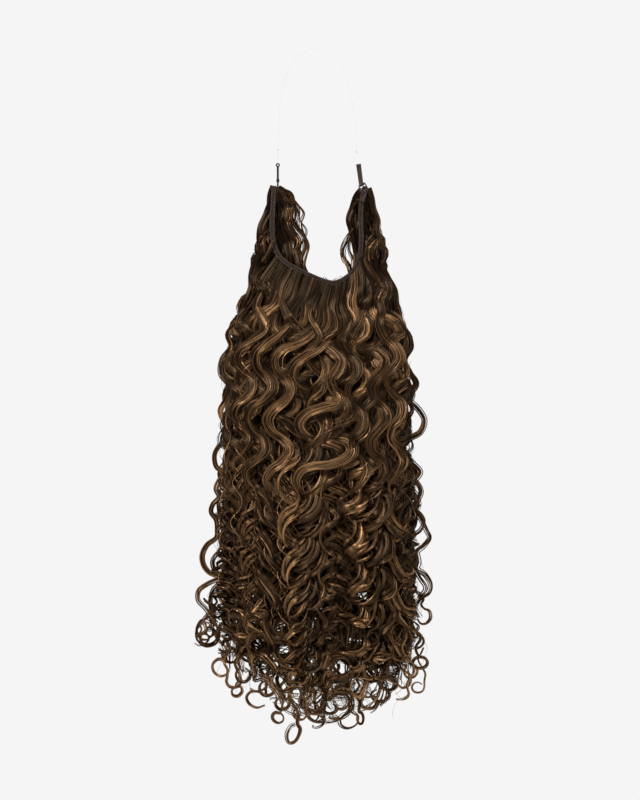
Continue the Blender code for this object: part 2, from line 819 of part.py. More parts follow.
def stray_points(section, side, first, last, reach, waves, depth):
    """A lock that waves in and out beside the body's edge."""
    steps = max(8, round(7 * waves))
    points, shares = [], []
    for i in range(steps + 1):
        t = i / steps
        z = mix(shoulder_height(), foot_height(), mix(first, last, t))
        box = body_box(section, z)
        edge = box[0] if side < 0 else box[1]
        swing = (0.5 - 0.5 * math.cos(2 * math.pi * waves * t)) * reach * TUFT_WIDTH
        inside = side * STRAY_TUCK * (1 - smooth(t / 0.12))
        turn = 2 * math.pi * waves * t
        x = edge - side * STRAY_SET_IN - inside + side * swing
        y = depth * HAIR_HALF_DEPTH + 0.5 * RINGLET_RADIUS * math.sin(turn)
        points.append((x, y, z))
        shares.append(1.0 - 0.35 * t)
    return points, shares


def inner_lock_points(side, stops):
    """A thin lock that hangs inside the U from a leg's tuft."""
    route = []
    for share, away in stops:
        z = BAND_TOP - share * BAND_SAG
        leg = leg_across(side * -1, max(z, BAND_TOP - 0.6 * BAND_SAG))
        depth = seat_depth() + INNER_LOCK_DEPTH * TUFT_WIDTH * smooth(0.35 + share)
        route.append((leg + side * away * TUFT_WIDTH, depth, z))
    count = 4 * len(stops)
    shares = [1.0 - 0.5 * i / (count - 1) for i in range(count)]
    return spline_through(route, count), shares


def make_hair(section, home):
    rings = side_rings(section) if section in ("left", "right") else middle_rings(section)
    body = ring_loft("hair_" + section, rings, home)
    locks = []
    for row in RINGLETS:
        if row[0] == section:
            points, shares = ringlet_points(*row[1:])
            points = [curl(p) if i < 3 else p for i, p in enumerate(points)]
            locks.append(as_mesh(tube("ringlet", points, RINGLET_DIAMETER, home, 0, shares), home))
    for row in STRAYS:
        if row[0] == section:
            points, shares = stray_points(*row)
            locks.append(as_mesh(tube("stray", points, STRAY_DIAMETER, home, 0, shares), home))
    for row in INNER_LOCKS:
        if row[0] == section:
            points, shares = inner_lock_points(*row[1:])
            locks.append(as_mesh(tube("inner", points, STRAY_DIAMETER, home, 0, shares), home))
    return finish(join_solids(body, locks, home), "hair")


def main():
    clear_scene()
    home = collection("halo_hair_extension")
    make_wire(home)
    make_thread_loop(home)
    make_strap(home)
    make_slider(home)
    make_tab(home)
    make_band(home)
    for section in ("left", "front", "back", "right"):
        make_hair(section, home)


main()
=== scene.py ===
"""The looks of a hanging halo hair extension, around its solids."""

import math

import bpy
import numpy as np
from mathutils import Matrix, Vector


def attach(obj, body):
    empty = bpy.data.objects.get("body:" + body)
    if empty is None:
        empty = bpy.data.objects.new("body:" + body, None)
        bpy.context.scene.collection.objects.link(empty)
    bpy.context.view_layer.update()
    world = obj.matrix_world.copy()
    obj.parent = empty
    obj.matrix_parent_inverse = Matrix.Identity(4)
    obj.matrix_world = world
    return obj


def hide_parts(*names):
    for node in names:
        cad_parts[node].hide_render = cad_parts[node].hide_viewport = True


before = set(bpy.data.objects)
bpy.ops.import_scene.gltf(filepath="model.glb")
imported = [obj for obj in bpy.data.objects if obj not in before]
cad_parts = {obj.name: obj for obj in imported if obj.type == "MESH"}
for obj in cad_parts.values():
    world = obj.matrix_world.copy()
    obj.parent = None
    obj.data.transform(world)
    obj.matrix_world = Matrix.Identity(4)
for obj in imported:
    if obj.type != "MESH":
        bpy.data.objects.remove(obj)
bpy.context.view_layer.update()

MM = 0.001
TURN = 2 * math.pi
TO_FRONT = (0.0, -1.0, 0.0)
TO_BACK = (0.0, 1.0, 0.0)
rng = np.random.default_rng(20)

# The photograph's frame: one pixel is PIXEL metres in the plane of the band
PIXEL = 0.88 * MM
PIXEL_X0, PIXEL_Z0 = 316.5, 48.0
FRAME_W, FRAME_H = 640, 800
SENSOR_WIDTH = 36.0
CAMERA_AWAY = 2.4


def px_z(y):
    return -(y - PIXEL_Z0) * PIXEL


def px(x, y):
    """A place in the photograph's frame as X and Z in the band's plane."""
    return (x - PIXEL_X0) * PIXEL, px_z(y)


def smooth(t):
    """From 0 to 1, level at both ends."""
    t = np.clip(t, 0.0, 1.0)
    return t * t * (3 - 2 * t)


def mix(a, b, t):
    return a + (b - a) * t


def ease(t, start, span, a=0.0, b=1.0):
    """Goes smoothly from a to b while t goes on from start by span."""
    return mix(a, b, smooth((t - start) / span))


def below(z, high, low):
    """From 0 at one height of the photograph's frame to 1 at a lower one."""
    return smooth((px_z(high) - z) / (px_z(high) - px_z(low)))


def unit(vectors):
    return vectors / np.maximum(np.linalg.norm(vectors, axis=-1, keepdims=True), 1e-9)


def heading(path):
    """The direction of a path at each of its points."""
    return unit(np.gradient(path, axis=-2))


def beside(direction):
    """At right angles to a direction, as seen from the front."""
    return np.stack([direction[:, 2], 0 * direction[:, 0], -direction[:, 0]], axis=1)


def lengths(path):
    """How far along a path each of its points lies."""
    steps = np.linalg.norm(np.diff(path, axis=-2), axis=-1)
    return np.concatenate([np.zeros_like(steps[..., :1]), np.cumsum(steps, axis=-1)], axis=-1)


def turned(x, z, angle):
    """A place turned about the origin of its plane."""
    return x * math.cos(angle) - z * math.sin(angle), x * math.sin(angle) + z * math.cos(angle)


def catmull(points, count):
    """Points evenly placed along a Catmull-Rom curve through the given ones."""
    points = np.asarray(points, float)
    ends = np.vstack([2 * points[0] - points[1], points, 2 * points[-1] - points[-2]])
    t = np.linspace(0, 1, 24, endpoint=False)[:, None]
    fine = [0.5 * (2 * b + (c - a) * t + (2 * a - 5 * b + 4 * c - d) * t**2 + (3 * b - a - 3 * c + d) * t**3)
            for a, b, c, d in zip(ends, ends[1:], ends[2:], ends[3:])]
    fine = np.vstack([*fine, points[-1:]])
    length = lengths(fine)
    want = np.linspace(0, length[-1], count)
    return np.stack([np.interp(want, length, axis) for axis in fine.T], axis=1)


def traced(points, count):
    """A curve in the band's plane through places of the photograph's frame."""
    x, z = px(*np.array(points, float).T)
    return catmull(np.stack([x, 0 * x, z], axis=1), count)


# Camera, light and stage

BACKDROP = (0.913, 0.913, 0.913, 1.0)
ROOM_LIGHT = (0.34, 0.34, 0.35, 1.0)
LIT_MIDDLE = Vector((0.0, 0.0, -0.35))
# Each light's name, place, size, power and colour
LIGHTS = (
    ("key", (-1.0, -1.8, 1.1), (0.9, 0.9), 58, (1.0, 0.97, 0.93)),
    ("fill", (1.8, -1.6, 0.2), (1.2, 1.6), 13, (1.0, 0.97, 0.94)),
    ("top", (0.1, -0.2, 1.4), (1.2, 1.0), 20, (1.0, 1.0, 1.0)),
    ("back", (0.4, 1.9, 0.6), (1.6, 1.4), 22, (1.0, 1.0, 1.0)),
)
FLOOR_BELOW_FRAME, FLOOR_RADIUS = 0.55, 2.2


def linked(name, data):
    made = bpy.data.objects.new(name, data)
    bpy.context.scene.collection.objects.link(made)
    return made


def make_camera():
    data = bpy.data.cameras.new("camera")
    data.sensor_fit = "HORIZONTAL"
    data.sensor_width = SENSOR_WIDTH
    data.lens = SENSOR_WIDTH * CAMERA_AWAY / (FRAME_W * PIXEL)
    data.clip_end = 50.0
    made = linked("camera", data)
    x, z = px(FRAME_W / 2, FRAME_H / 2)
    made.location = (x, -CAMERA_AWAY, z)
    made.rotation_euler = (math.pi / 2, 0.0, 0.0)
    bpy.context.scene.camera = made


def make_lights():
    for name, place, size, power, colour in LIGHTS:
        data = bpy.data.lights.new(name, "AREA")
        data.shape = "RECTANGLE"
        data.size, data.size_y = size
        data.energy = power
        data.color = colour
        made = linked(name, data)
        made.location = place
        made.rotation_euler = (LIT_MIDDLE - Vector(place)).to_track_quat("-Z", "Y").to_euler()


def make_world():
    """A white backdrop for the camera and a dimmer one for the light that reaches the hair."""
    scene = bpy.context.scene
    scene.world = bpy.data.worlds.new("studio")
    scene.world.use_nodes = True
    nodes, links = scene.world.node_tree.nodes, scene.world.node_tree.links
    nodes.clear()
    out = nodes.new("ShaderNodeOutputWorld")
    path = nodes.new("ShaderNodeLightPath")
    pick = nodes.new("ShaderNodeMixShader")
    links.new(path.outputs["Is Camera Ray"], pick.inputs[0])
    for slot, colour in ((1, ROOM_LIGHT), (2, BACKDROP)):
        background = nodes.new("ShaderNodeBackground")
        background.inputs["Color"].default_value = colour
        links.new(background.outputs[0], pick.inputs[slot])
    links.new(pick.outputs[0], out.inputs["Surface"])
    scene.view_settings.view_transform = "Standard"
    scene.view_settings.look = "None"


def make_floor():
    """A pale floor well below the hanging piece, out of the photograph's frame."""
    bpy.ops.mesh.primitive_circle_add(vertices=96, radius=FLOOR_RADIUS, fill_type="NGON",
                                      location=(0, 0.2, px_z(FRAME_H) - FLOOR_BELOW_FRAME))
    floor = bpy.context.object
    floor.name = "floor"
    floor.data.materials.append(Look("floor", (0.82, 0.82, 0.82), 0.9).material)


# Materials


class Look:
    """A Principled material and the nodes that feed it."""

    def __init__(self, name, colour, roughness, values=()):
        self.material = bpy.data.materials.new(name)
        self.material.use_nodes = True
        self.material.diffuse_color = (*colour, 1.0)
        self.nodes, self.links = self.material.node_tree.nodes, self.material.node_tree.links
        self.shader = self.nodes["Principled BSDF"]
        self.feed(self.shader, {"Base Color": (*colour, 1.0), "Roughness": roughness, **dict(values)})

    def feed(self, node, values):
        """Gives a node's inputs a value or another node's output."""
        for socket, value in values.items():
            if isinstance(value, bpy.types.NodeSocket):
                self.links.new(value, node.inputs[socket])
            else:
                node.inputs[socket].default_value = value

    def add(self, kind, values=(), **settings):
        """A new node with its settings and inputs."""
        node = self.nodes.new("ShaderNode" + kind)
        for setting, value in settings.items():
            setattr(node, setting, value)
        self.feed(node, dict(values))
        return node

    def place(self):
        return self.add("UVMap", uv_map="UVMap").outputs["UV"]

    def colour(self, value, stops):
        """Colours the surface by a value, through a ramp."""
        ramp = self.add("ValToRGB", {"Fac": value})
        elements = ramp.color_ramp.elements
        while len(elements) < len(stops):
            elements.new(0.5)
        for element, (at, colour) in zip(elements, stops):
            element.position = at
            element.color = (*colour, 1.0)
        self.feed(self.shader, {"Base Color": ramp.outputs["Color"]})

    def bump(self, height, strength, distance):
        bump = self.add("Bump", {"Strength": strength, "Distance": distance, "Height": height})
        self.feed(self.shader, {"Normal": bump.outputs["Normal"]})


def hair_material():
    """Strands whose tone comes with each wisp, with painted shade and painted light in it, streaked along
    their length.
    """
    look = Look("hair", (0.06, 0.03, 0.015), 0.40, {
        "Metallic": 0.48, "Specular IOR Level": 0.45, "Specular Tint": (1.0, 0.72, 0.47, 1.0),
        "Anisotropic": 0.85})
    grain = look.add("Tangent", direction_type="UV_MAP", uv_map="UVMap")
    look.feed(look.shader, {"Tangent": grain.outputs["Tangent"]})
    strand = look.add("Attribute", attribute_name="strand")
    parts = look.add("SeparateColor", {0: strand.outputs["Color"]})
    stretch = look.add("Mapping", {"Scale": (820.0, 14.0, 1.0), "Vector": look.place()})
    streaks = look.add("TexNoise", {"Scale": 1.0, "Detail": 2.0,
                                    "Vector": stretch.outputs["Vector"]}).outputs["Fac"]
    spread = look.add("MapRange", {"From Min": 0.32, "From Max": 0.68, "To Min": -0.26, "To Max": 0.26,
                                   "Value": streaks})
    tone = look.add("Math", {0: parts.outputs["Red"], 1: spread.outputs["Result"]}, operation="ADD",
                    use_clamp=True)
    look.colour(tone.outputs[0], ((0.0, (0.0042, 0.0020, 0.0008)), (0.30, (0.0135, 0.0064, 0.0027)),
                                  (0.55, (0.044, 0.0212, 0.0086)), (0.80, (0.150, 0.077, 0.032)),
                                  (1.0, (0.340, 0.187, 0.084))))
    look.bump(streaks, 0.5, 0.6 * MM)
    return look.material


def clear_material():
    """Clear nylon: almost nothing but a faint gleam shows of it."""
    look = Look("clear_nylon", (0.60, 0.61, 0.63), 0.22, {"Alpha": 0.16, "Specular IOR Level": 0.45})
    noise = look.add("TexNoise", {"Scale": 160.0})
    look.colour(noise.outputs["Fac"], ((0.35, (0.52, 0.53, 0.55)), (0.65, (0.66, 0.67, 0.69))))
    look.material.surface_render_method = "BLENDED"
    return look.material


def thread_material(name, dark, light, scale, roughness):
    """Twisted or sewn thread: fine slanted plies over a mottled dye."""
    look = Look(name, mix(np.array(dark), np.array(light), 0.5), roughness, {"Specular IOR Level": 0.12})
    place = look.place()
    slanted = look.add("Mapping", {"Rotation": (0.0, 0.0, math.radians(38.0)), "Vector": place})
    plies = look.add("TexWave", {"Scale": scale, "Distortion": 1.2, "Detail": 2.0,
                                 "Vector": slanted.outputs["Vector"]}).outputs["Fac"]
    dye = look.add("TexNoise", {"Scale": 620.0, "Detail": 3.0, "Vector": place})
    both = look.add("Math", {0: plies, 1: dye.outputs["Fac"]}, operation="MULTIPLY")
    look.colour(both.outputs[0], ((0.08, dark), (0.55, light)))
    look.bump(plies, 0.7, 0.25 * MM)
    return look.material


def weave_material():
    """Woven tape: fine ribs across its length and along it."""
    dark, light = (0.016, 0.010, 0.009), (0.120, 0.078, 0.066)
    look = Look("woven_tape", mix(np.array(dark), np.array(light), 0.5), 0.88, {"Specular IOR Level": 0.2})
    place = look.place()
    ribs = [look.add("TexWave", {"Scale": scale, "Distortion": 0.6, "Vector": place}, bands_direction=axis)
            for axis, scale in (("X", 480.0), ("Y", 520.0))]
    both = look.add("Math", {0: ribs[0].outputs["Fac"], 1: ribs[1].outputs["Fac"]}, operation="MULTIPLY")
    look.colour(both.outputs[0], ((0.0, dark), (0.8, light)))
    look.bump(both.outputs[0], 0.8, 0.2 * MM)
    return look.material


def painted_metal_material():
    """Brown lacquer over wire, worn a little brighter here and there."""
    look = Look("painted_metal", (0.030, 0.020, 0.017), 0.34, {"Coat Weight": 0.4, "Coat Roughness": 0.18})
    place = look.add("TexCoord").outputs["Object"]
    noise = look.add("TexNoise", {"Scale": 900.0, "Detail": 4.0, "Vector": place}).outputs["Fac"]
    look.colour(noise, ((0.40, (0.022, 0.014, 0.012)), (0.72, (0.060, 0.042, 0.036))))
    look.bump(noise, 0.25, 0.1 * MM)
    return look.material


# The band's route and the hardware's places, repeated from the solid model

BAND_SPACING = 0.079
BAND_SAG = 0.0853
BAND_TOP = -0.1213
BAND_WIDTH, BAND_THICKNESS = 4.6 * MM, 2.8 * MM
BAND_ROUTE = (
    (-0.474, 0.0), (-0.482, 0.17), (-0.494, 0.35), (-0.486, 0.55), (-0.445, 0.68), (-0.36, 0.78),
    (-0.218, 0.86), (-0.06, 0.93), (0.09, 0.985), (0.206, 1.0), (0.32, 0.955), (0.425, 0.865),
    (0.482, 0.74), (0.5, 0.55), (0.492, 0.35), (0.506, 0.15), (0.545, 0.0),
)
EYE = Vector((-0.03403, 0.0, -0.1031))
EYE_THREAD, EYE_HOLE = 1.1 * MM, 1.5 * MM
EYE_RING = (EYE_HOLE + EYE_THREAD) / 2
NECK_OVERLAP = 6 * MM
KNOT_DIAMETER = 3 * MM
STRAP_PLANE = -3.4 * MM
STRAP_WIDTH, STRAP_LENGTH, STRAP_THICKNESS, STRAP_WALL = 4.2 * MM, 16.6 * MM, 2.0 * MM, 0.8 * MM
STRAP_LEAN, SLIDER_TILT = math.radians(9.0), math.radians(28.0)
TOP_BAR = Vector((0.03966, STRAP_PLANE, -0.12019))
BOTTOM_BAR = Vector((0.04275, STRAP_PLANE, -0.12601))
TAB_FOOT = Vector((0.03979, STRAP_PLANE, -0.13551))
BAR_HOLE, WIRE_HOLE = 0.9 * MM, 0.65 * MM
WIRE_DIAMETER, WIRE_GAP, WIRE_TAIL = 0.6 * MM, 0.35 * MM, 12.5 * MM
ARCH = (
    (-0.0331, -0.08), (-0.0327, -0.064), (-0.0315, -0.045), (-0.0275, -0.026), (-0.019, -0.0105),
    (-0.009, -0.0022), (0.0, 0.0), (0.009, -0.0022), (0.0188, -0.0105), (0.0268, -0.026), (0.0312, -0.045),
    (0.0336, -0.064), (0.0357, -0.08),
)

BAND = catmull([(x * BAND_SPACING, 0.0, BAND_TOP - drop * BAND_SAG) for x, drop in BAND_ROUTE], 400)


def band_at(share):
    """A place on the band, from 0 at its left end to 1 at its right end."""
    at = np.clip(share, 0, 1) * (len(BAND) - 1)
    low = np.minimum(np.floor(at).astype(int), len(BAND) - 2)
    return mix(BAND[low], BAND[low + 1], (at - low)[..., None])


def band_way(share):
    """The band's direction, to the right."""
    return unit(band_at(share + 0.01) - band_at(share - 0.01))


# Meshes from grids of points


class Strands:
    """Collects closed tubes and thin ribbons and makes them one mesh with a tone for each strand."""

    def __init__(self):
        self.verts, self.quads, self.caps, self.tones, self.uvs = [], [], [], [], []
        self.count = 0

    def add_grid(self, verts, across, along, tone):
        """verts is (strands, points, sides, 3). across and along are the vertices' places on the surface."""
        n, m, sides = verts.shape[:3]
        index = self.count + np.arange(n * m * sides).reshape(n, m, sides)
        a, b = index[:, :-1], index[:, 1:]
        quads = np.stack([a, b, np.roll(b, -1, axis=2), np.roll(a, -1, axis=2)], axis=-1)
        if sides == 2:
            quads = quads[:, :, :1]
        else:
            self.caps += [*index[:, 0], *index[:, -1, ::-1]]
        self.verts.append(verts.reshape(-1, 3))
        self.quads.append(quads.reshape(-1, 4))
        self.uvs.append(np.stack(np.broadcast_arrays(across, along[:, :, None]), axis=-1).reshape(-1, 2))
        tones = np.ones((n, m, sides, 4))
        tones[..., 0] = np.broadcast_to(tone, (n, m))[:, :, None]
        self.tones.append(tones.reshape(-1, 4))
        self.count += n * m * sides

    def add(self, paths, radii, sides, tone, flat=None, face=TO_BACK, pull=0.3):
        """paths is (strands, points, 3), radii and tone (strands, points). Two sides make a ribbon whose face
        keeps to the direction given; flat is the share of the radius that a flattened tube keeps along it."""
        n, m = paths.shape[:2]
        tangent = heading(paths)
        up = np.broadcast_to(face, (n, 3))
        keeps = flat is not None or sides == 2
        normal = np.empty_like(paths)
        current = up
        for i in range(m):
            if keeps and i:
                current = current * (1 - pull) + up * pull
            current = unit(current - tangent[:, i] * np.sum(current * tangent[:, i], axis=1, keepdims=True))
            normal[:, i] = current
        side = np.cross(tangent, normal)
        angles = np.arange(sides) * TURN / sides
        high = (1.0 if flat is None else flat) * np.sin(angles)
        ring = side[:, :, None] * np.cos(angles)[:, None] + normal[:, :, None] * high[:, None]
        radii = np.broadcast_to(radii, (n, m))
        shift = rng.random((n, 1)) * 9
        across = np.cos(angles) * radii.max(axis=1)[:, None, None] + shift[:, :, None]
        verts = paths[:, :, None] + ring * radii[:, :, None, None]
        self.add_grid(verts, across, lengths(paths) + shift, tone)

    def build(self, name, material):
        verts, quads = np.vstack(self.verts), np.vstack(self.quads)
        loops = np.concatenate([quads.ravel(), *self.caps])
        sizes = np.array([4] * len(quads) + [len(cap) for cap in self.caps])
        mesh = bpy.data.meshes.new(name)
        mesh.vertices.add(len(verts))
        mesh.vertices.foreach_set("co", verts.ravel())
        mesh.loops.add(len(loops))
        mesh.loops.foreach_set("vertex_index", loops)
        mesh.polygons.add(len(sizes))
        mesh.polygons.foreach_set("loop_start", np.cumsum(sizes) - sizes)
        mesh.update(calc_edges=True)
        mesh.polygons.foreach_set("use_smooth", np.ones(len(sizes), bool))
        layer = mesh.uv_layers.new(name="UVMap")
        layer.data.foreach_set("uv", np.vstack(self.uvs)[loops].astype(np.float32).ravel())
        strand = mesh.attributes.new("strand", "FLOAT_COLOR", "POINT")
        strand.data.foreach_set("color", np.vstack(self.tones).astype(np.float32).ravel())
        mesh.validate()
        mesh.materials.append(material)
        return linked(name, mesh)


def dress(made, slot, *nodes):
    """Puts a piece on the root body and in place of its nodes."""
    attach(made, "root")
    if nodes:
        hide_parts(*nodes)


# Clear wire


def wire_route():
    """From the tail behind the eye, through the eye, over the arch and through the strap's hem."""
    wrap = EYE_THREAD / 2 + WIRE_GAP + WIRE_DIAMETER / 2
    apart = WIRE_DIAMETER * 1.35
    eye = [(apart, WIRE_TAIL), (apart * 1.15, WIRE_TAIL * 0.48)]
    eye += [(wrap * math.cos(angle), -wrap * math.sin(angle)) for angle in np.linspace(0, math.pi, 7)]
    eye += [(-wrap * 0.75, WIRE_TAIL * 0.4), (0.0, WIRE_TAIL * 0.96)]
    points = [EYE + Vector((0.0, y, EYE_RING + z)) for y, z in eye]
    last = ARCH[-1][0]
    arch = [(x, STRAP_PLANE * smooth(x / last), z) for x, z in ARCH]
    points += [Vector(p) for p in catmull(arch, 26)]
    lean = Vector((-math.sin(STRAP_LEAN), 0.0, math.cos(STRAP_LEAN)))
    across = Vector((math.cos(STRAP_LEAN), 0.0, math.sin(STRAP_LEAN)))
    hem = TOP_BAR + lean * STRAP_LENGTH
    bend, reach = WIRE_DIAMETER * 2.2, STRAP_WIDTH / 2 + WIRE_DIAMETER
    half = [(apart / 2, WIRE_TAIL), (reach * 0.5, WIRE_TAIL * 0.68), (reach + bend * 0.75, WIRE_TAIL / 3)]
    half += [(reach + bend * math.cos(math.pi * t), bend * (1 - math.sin(math.pi * t)))
             for t in (0.0, 0.17, 0.33, 0.5)]
    points += [hem - across * a + lean * b for a, b in half]
    points += [hem + across * a + lean * b for a, b in reversed(half)]
    return points


def make_wire():
    """One cord, and a small wound knot on each of its doubled tails."""
    material = clear_material()
    route = wire_route()
    data = bpy.data.curves.new("clear_wire", "CURVE")
    data.dimensions = "3D"
    data.bevel_depth = WIRE_DIAMETER / 2
    data.bevel_resolution = 3
    data.use_fill_caps = True
    spline = data.splines.new("POLY")
    spline.points.add(len(route) - 1)
    for point, place in zip(spline.points, route):
        point.co = (*place, 1.0)
    data.materials.append(material)
    wire = linked("clear_wire", data)
    knots = []
    for name, at in (("wire_knot_left", route[0].lerp(route[10], 0.5)),
                     ("wire_knot_right", route[-1].lerp(route[-14], 0.5))):
        knot = Strands()
        angle = np.linspace(0, TURN * 2.5, 26)
        coil = np.stack([at.x + 0.75 * MM * np.cos(angle), at.y + 0.95 * MM * np.sin(angle),
                         at.z + np.linspace(-0.8 * MM, 0.8 * MM, 26)], axis=1)
        knot.add(coil[None], WIRE_DIAMETER / 2, 6, 0.5)
        knots.append(knot.build(name, material))
        dress(knots[-1], "wire")
    dress(wire, "wire", "halo_wire")
    tuple(route[0])
    sum((b - a).length for a, b in zip(route, route[1:]))


# Thread loop


def twisted(route, ply, turns, count):
    """Two threads twisted round each other along a route of points."""
    route = catmull(route, count)
    tangent = heading(route)
    a = unit(np.cross(tangent, TO_BACK))
    b = np.cross(tangent, a)
    made = []
    for half_turn in (0.0, math.pi):
        angle = np.linspace(0, TURN * turns, count)[:, None] + half_turn
        made.append(route + ply * (a * np.cos(angle) + b * np.sin(angle)))
    return np.array(made)


def make_thread_loop():
    """A two-ply thread: the eye, its twisted stem, the wound knot and the neck beside the band."""
    out = Strands()
    angle = np.linspace(-0.25 * TURN, 0.75 * TURN, 25)
    eye = np.stack([EYE.x + EYE_RING * np.cos(angle), 0 * angle, EYE.z + EYE_RING * np.sin(angle)], axis=1)
    out.add(twisted(eye, 0.28 * MM, 7, 72), 0.38 * MM, 6, 0.5)
    knot = BAND_TOP + KNOT_DIAMETER * 1.6
    for high, low, ply, turns, count, radius, tone in (
            (EYE.z - EYE_RING, knot, 0.45, 5.5, 64, 0.60, 0.5),
            (knot, BAND_TOP - NECK_OVERLAP, 0.36, 4.0, 48, 0.50, 0.42)):
        stem = [(EYE.x, 0.0, z) for z in np.linspace(high, low, 5)]
        out.add(twisted(stem, ply * MM, turns, count), radius * MM, 6, tone)
    for lean, radius in ((0.35, 1.05 * MM), (-0.4, 1.00 * MM), (0.0, 0.80 * MM)):
        angle = np.linspace(0, TURN * 2.2, 40)
        coil = np.stack([EYE.x + radius * np.cos(angle), 0.8 * radius * np.sin(angle),
                         knot + np.linspace(-MM, MM, 40) + lean * radius * np.cos(angle)], axis=1)
        out.add(coil[None], 0.40 * MM, 6, 0.5)
    material = thread_material("thread", (0.012, 0.008, 0.007), (0.090, 0.058, 0.048), 900.0, 0.82)
    dress(out.build("thread_eye", material), "thread", "thread_loop")


# Strap and tab: one woven tape, folded round its holes

TAPE_EDGE = ((-1.0, -0.6), (-0.94, -1.0), (-0.5, -1.0), (0.0, -1.0), (0.5, -1.0), (0.94, -1.0), (1.0, -0.6))
TAPE_STEP = 0.8 * MM


def tape(out, place, lean, foot_hole, top_hole, length, turn_foot, turn_top):
    """A tape that runs up the front, round the top hole and down the back. Its section is swept along that
    fold. A hem is turned about its hole's middle so that it follows a bar."""
    half = (STRAP_THICKNESS - STRAP_WALL) / 2

    def arc(centre, hole, start, stop, turn):
        radius = hole + STRAP_WALL / 2
        return [((radius * math.cos(a), radius * math.sin(a)), centre, turn)
                for a in np.linspace(start, stop, 15)]

    def open_angle(hole):
        """Where the hem's round meets the flat of the tape."""
        return math.acos(min(0.98, half / (hole + STRAP_WALL / 2)))

    flat = open_angle(top_hole)
    stops = arc(length, top_hole, -flat, math.pi + flat, turn_top)
    if foot_hole:
        flat = open_angle(foot_hole)
        stops = [*arc(0.0, foot_hole, -math.pi / 2, flat, turn_foot), *stops,
                 *arc(0.0, foot_hole, math.pi - flat, 1.5 * math.pi, turn_foot)]
    else:
        stops = [((half, 0.0), 0.0, turn_foot), *stops, ((-half, 0.0), 0.0, turn_foot)]
    s, t = np.array([*TAPE_EDGE, *((s, -t) for s, t in reversed(TAPE_EDGE))]).T
    across = s * STRAP_WIDTH / 2
    thick = t * STRAP_WALL / 2
    rows = []
    for ((depth, up), centre, turn), step in zip(
            stops, unit(np.gradient([(p[0], p[1] + centre) for p, centre, _ in stops], axis=0))):
        x, z = turned(across, up - step[0] * thick, turn)
        x, z = turned(x, centre + z, lean)
        rows.append(np.stack([x, depth + step[1] * thick, z], axis=1))
    fine = [rows[0]]
    for low, high in zip(rows, rows[1:]):
        count = max(1, int(np.linalg.norm(high.mean(axis=0) - low.mean(axis=0)) / TAPE_STEP))
        fine += [mix(low, high, k / count) for k in range(1, count + 1)]
    grid = np.array(fine) + np.array(place)
    out.add_grid(grid[None], across, lengths(grid.mean(axis=1))[None], 0.5)


def make_straps():
    material = weave_material()
    out = Strands()
    tape(out, TOP_BAR, STRAP_LEAN, BAR_HOLE, WIRE_HOLE, STRAP_LENGTH, SLIDER_TILT - STRAP_LEAN, 0.0)
    dress(out.build("woven_strap", material), "strap", "strap")
    out = Strands()
    way = BOTTOM_BAR - TAB_FOOT
    lean = math.atan2(-way.x, way.z)
    tape(out, TAB_FOOT, lean, 0.0, BAR_HOLE, way.length, 0.0, SLIDER_TILT - lean)
    dress(out.build("woven_tab", material), "strap", "strap_tab")


def dress_slider():
    """The slider keeps its solid and gets its lacquer."""
    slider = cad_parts["slider"]
    slider.data.materials.clear()
    slider.data.materials.append(painted_metal_material())


# Sewn band

STITCH_SPACING, STITCH_REACH, STITCH_THREAD = 1.9 * MM, 0.42 * MM, 0.24 * MM
STRAY_THREADS, STRAY_THREAD = 11, 0.18 * MM
# Each row of stitches: its place across the band and how far its stitches slant
STITCH_ROWS = ((-0.78, 1.1 * MM), (-0.30, -1.1 * MM), (0.30, 1.1 * MM), (0.78, -1.1 * MM))


def make_band():
    """The weft's two folded ridges, bound by slanted stitches, with stray thread at its low middle."""
    out = Strands()
    route = BAND[::2]
    tangent = heading(route)
    across = beside(tangent)
    half, thick = BAND_WIDTH / 2, BAND_THICKNESS / 2
    for lane, width, depth in ((-0.56, 0.42, 0.92), (0.56, 0.42, 0.92), (0.0, 0.44, 0.42)):
        out.add((route + across * lane * half)[None], half * width, 10, 0.5,
                flat=depth * thick / (half * width), pull=1.0)
    stitches = []
    count = int(lengths(route)[-1] / STITCH_SPACING)
    for lane, slant in STITCH_ROWS:
        for face in (-1, 1):
            for i in range(count):
                at = (i + 0.5) / count * (len(route) - 1)
                k = int(at)
                centre = mix(route[k], route[k + 1], at - k)
                row = []
                for s in (-1, -0.5, 0, 0.5, 1):
                    lift = thick * (1.0 - 0.22 * s * s) * (0.97 if abs(lane) < 0.5 else 0.80)
                    row.append(centre + across[k] * (lane * half + STITCH_REACH * s)
                               + tangent[k] * slant * s * 0.6 + np.array([0.0, face * lift, 0.0]))
                stitches.append(row)
    out.add(np.array(stitches), STITCH_THREAD, 4, 0.6)
    for i in range(STRAY_THREADS):
        side = rng.choice((-1, 1))
        stray = [(0.0, -0.6 * MM, half * 0.6), (side * 1.2 * MM, -MM, half + 1.1 * MM),
                 (side * 2.6 * MM, 0.4 * MM, half + 0.4 * MM), (side * 3.4 * MM, MM, half * 0.4)]
        out.add(catmull(band_at(0.50 + 0.021 * i) + np.array(stray), 9)[None], STRAY_THREAD, 4, 0.6)
    material = thread_material("weft", (0.014, 0.0090, 0.0074), (0.120, 0.081, 0.068), 700.0, 0.92)
    dress(out.build("sewn_band", material), "band", "weft_band")


# Hair

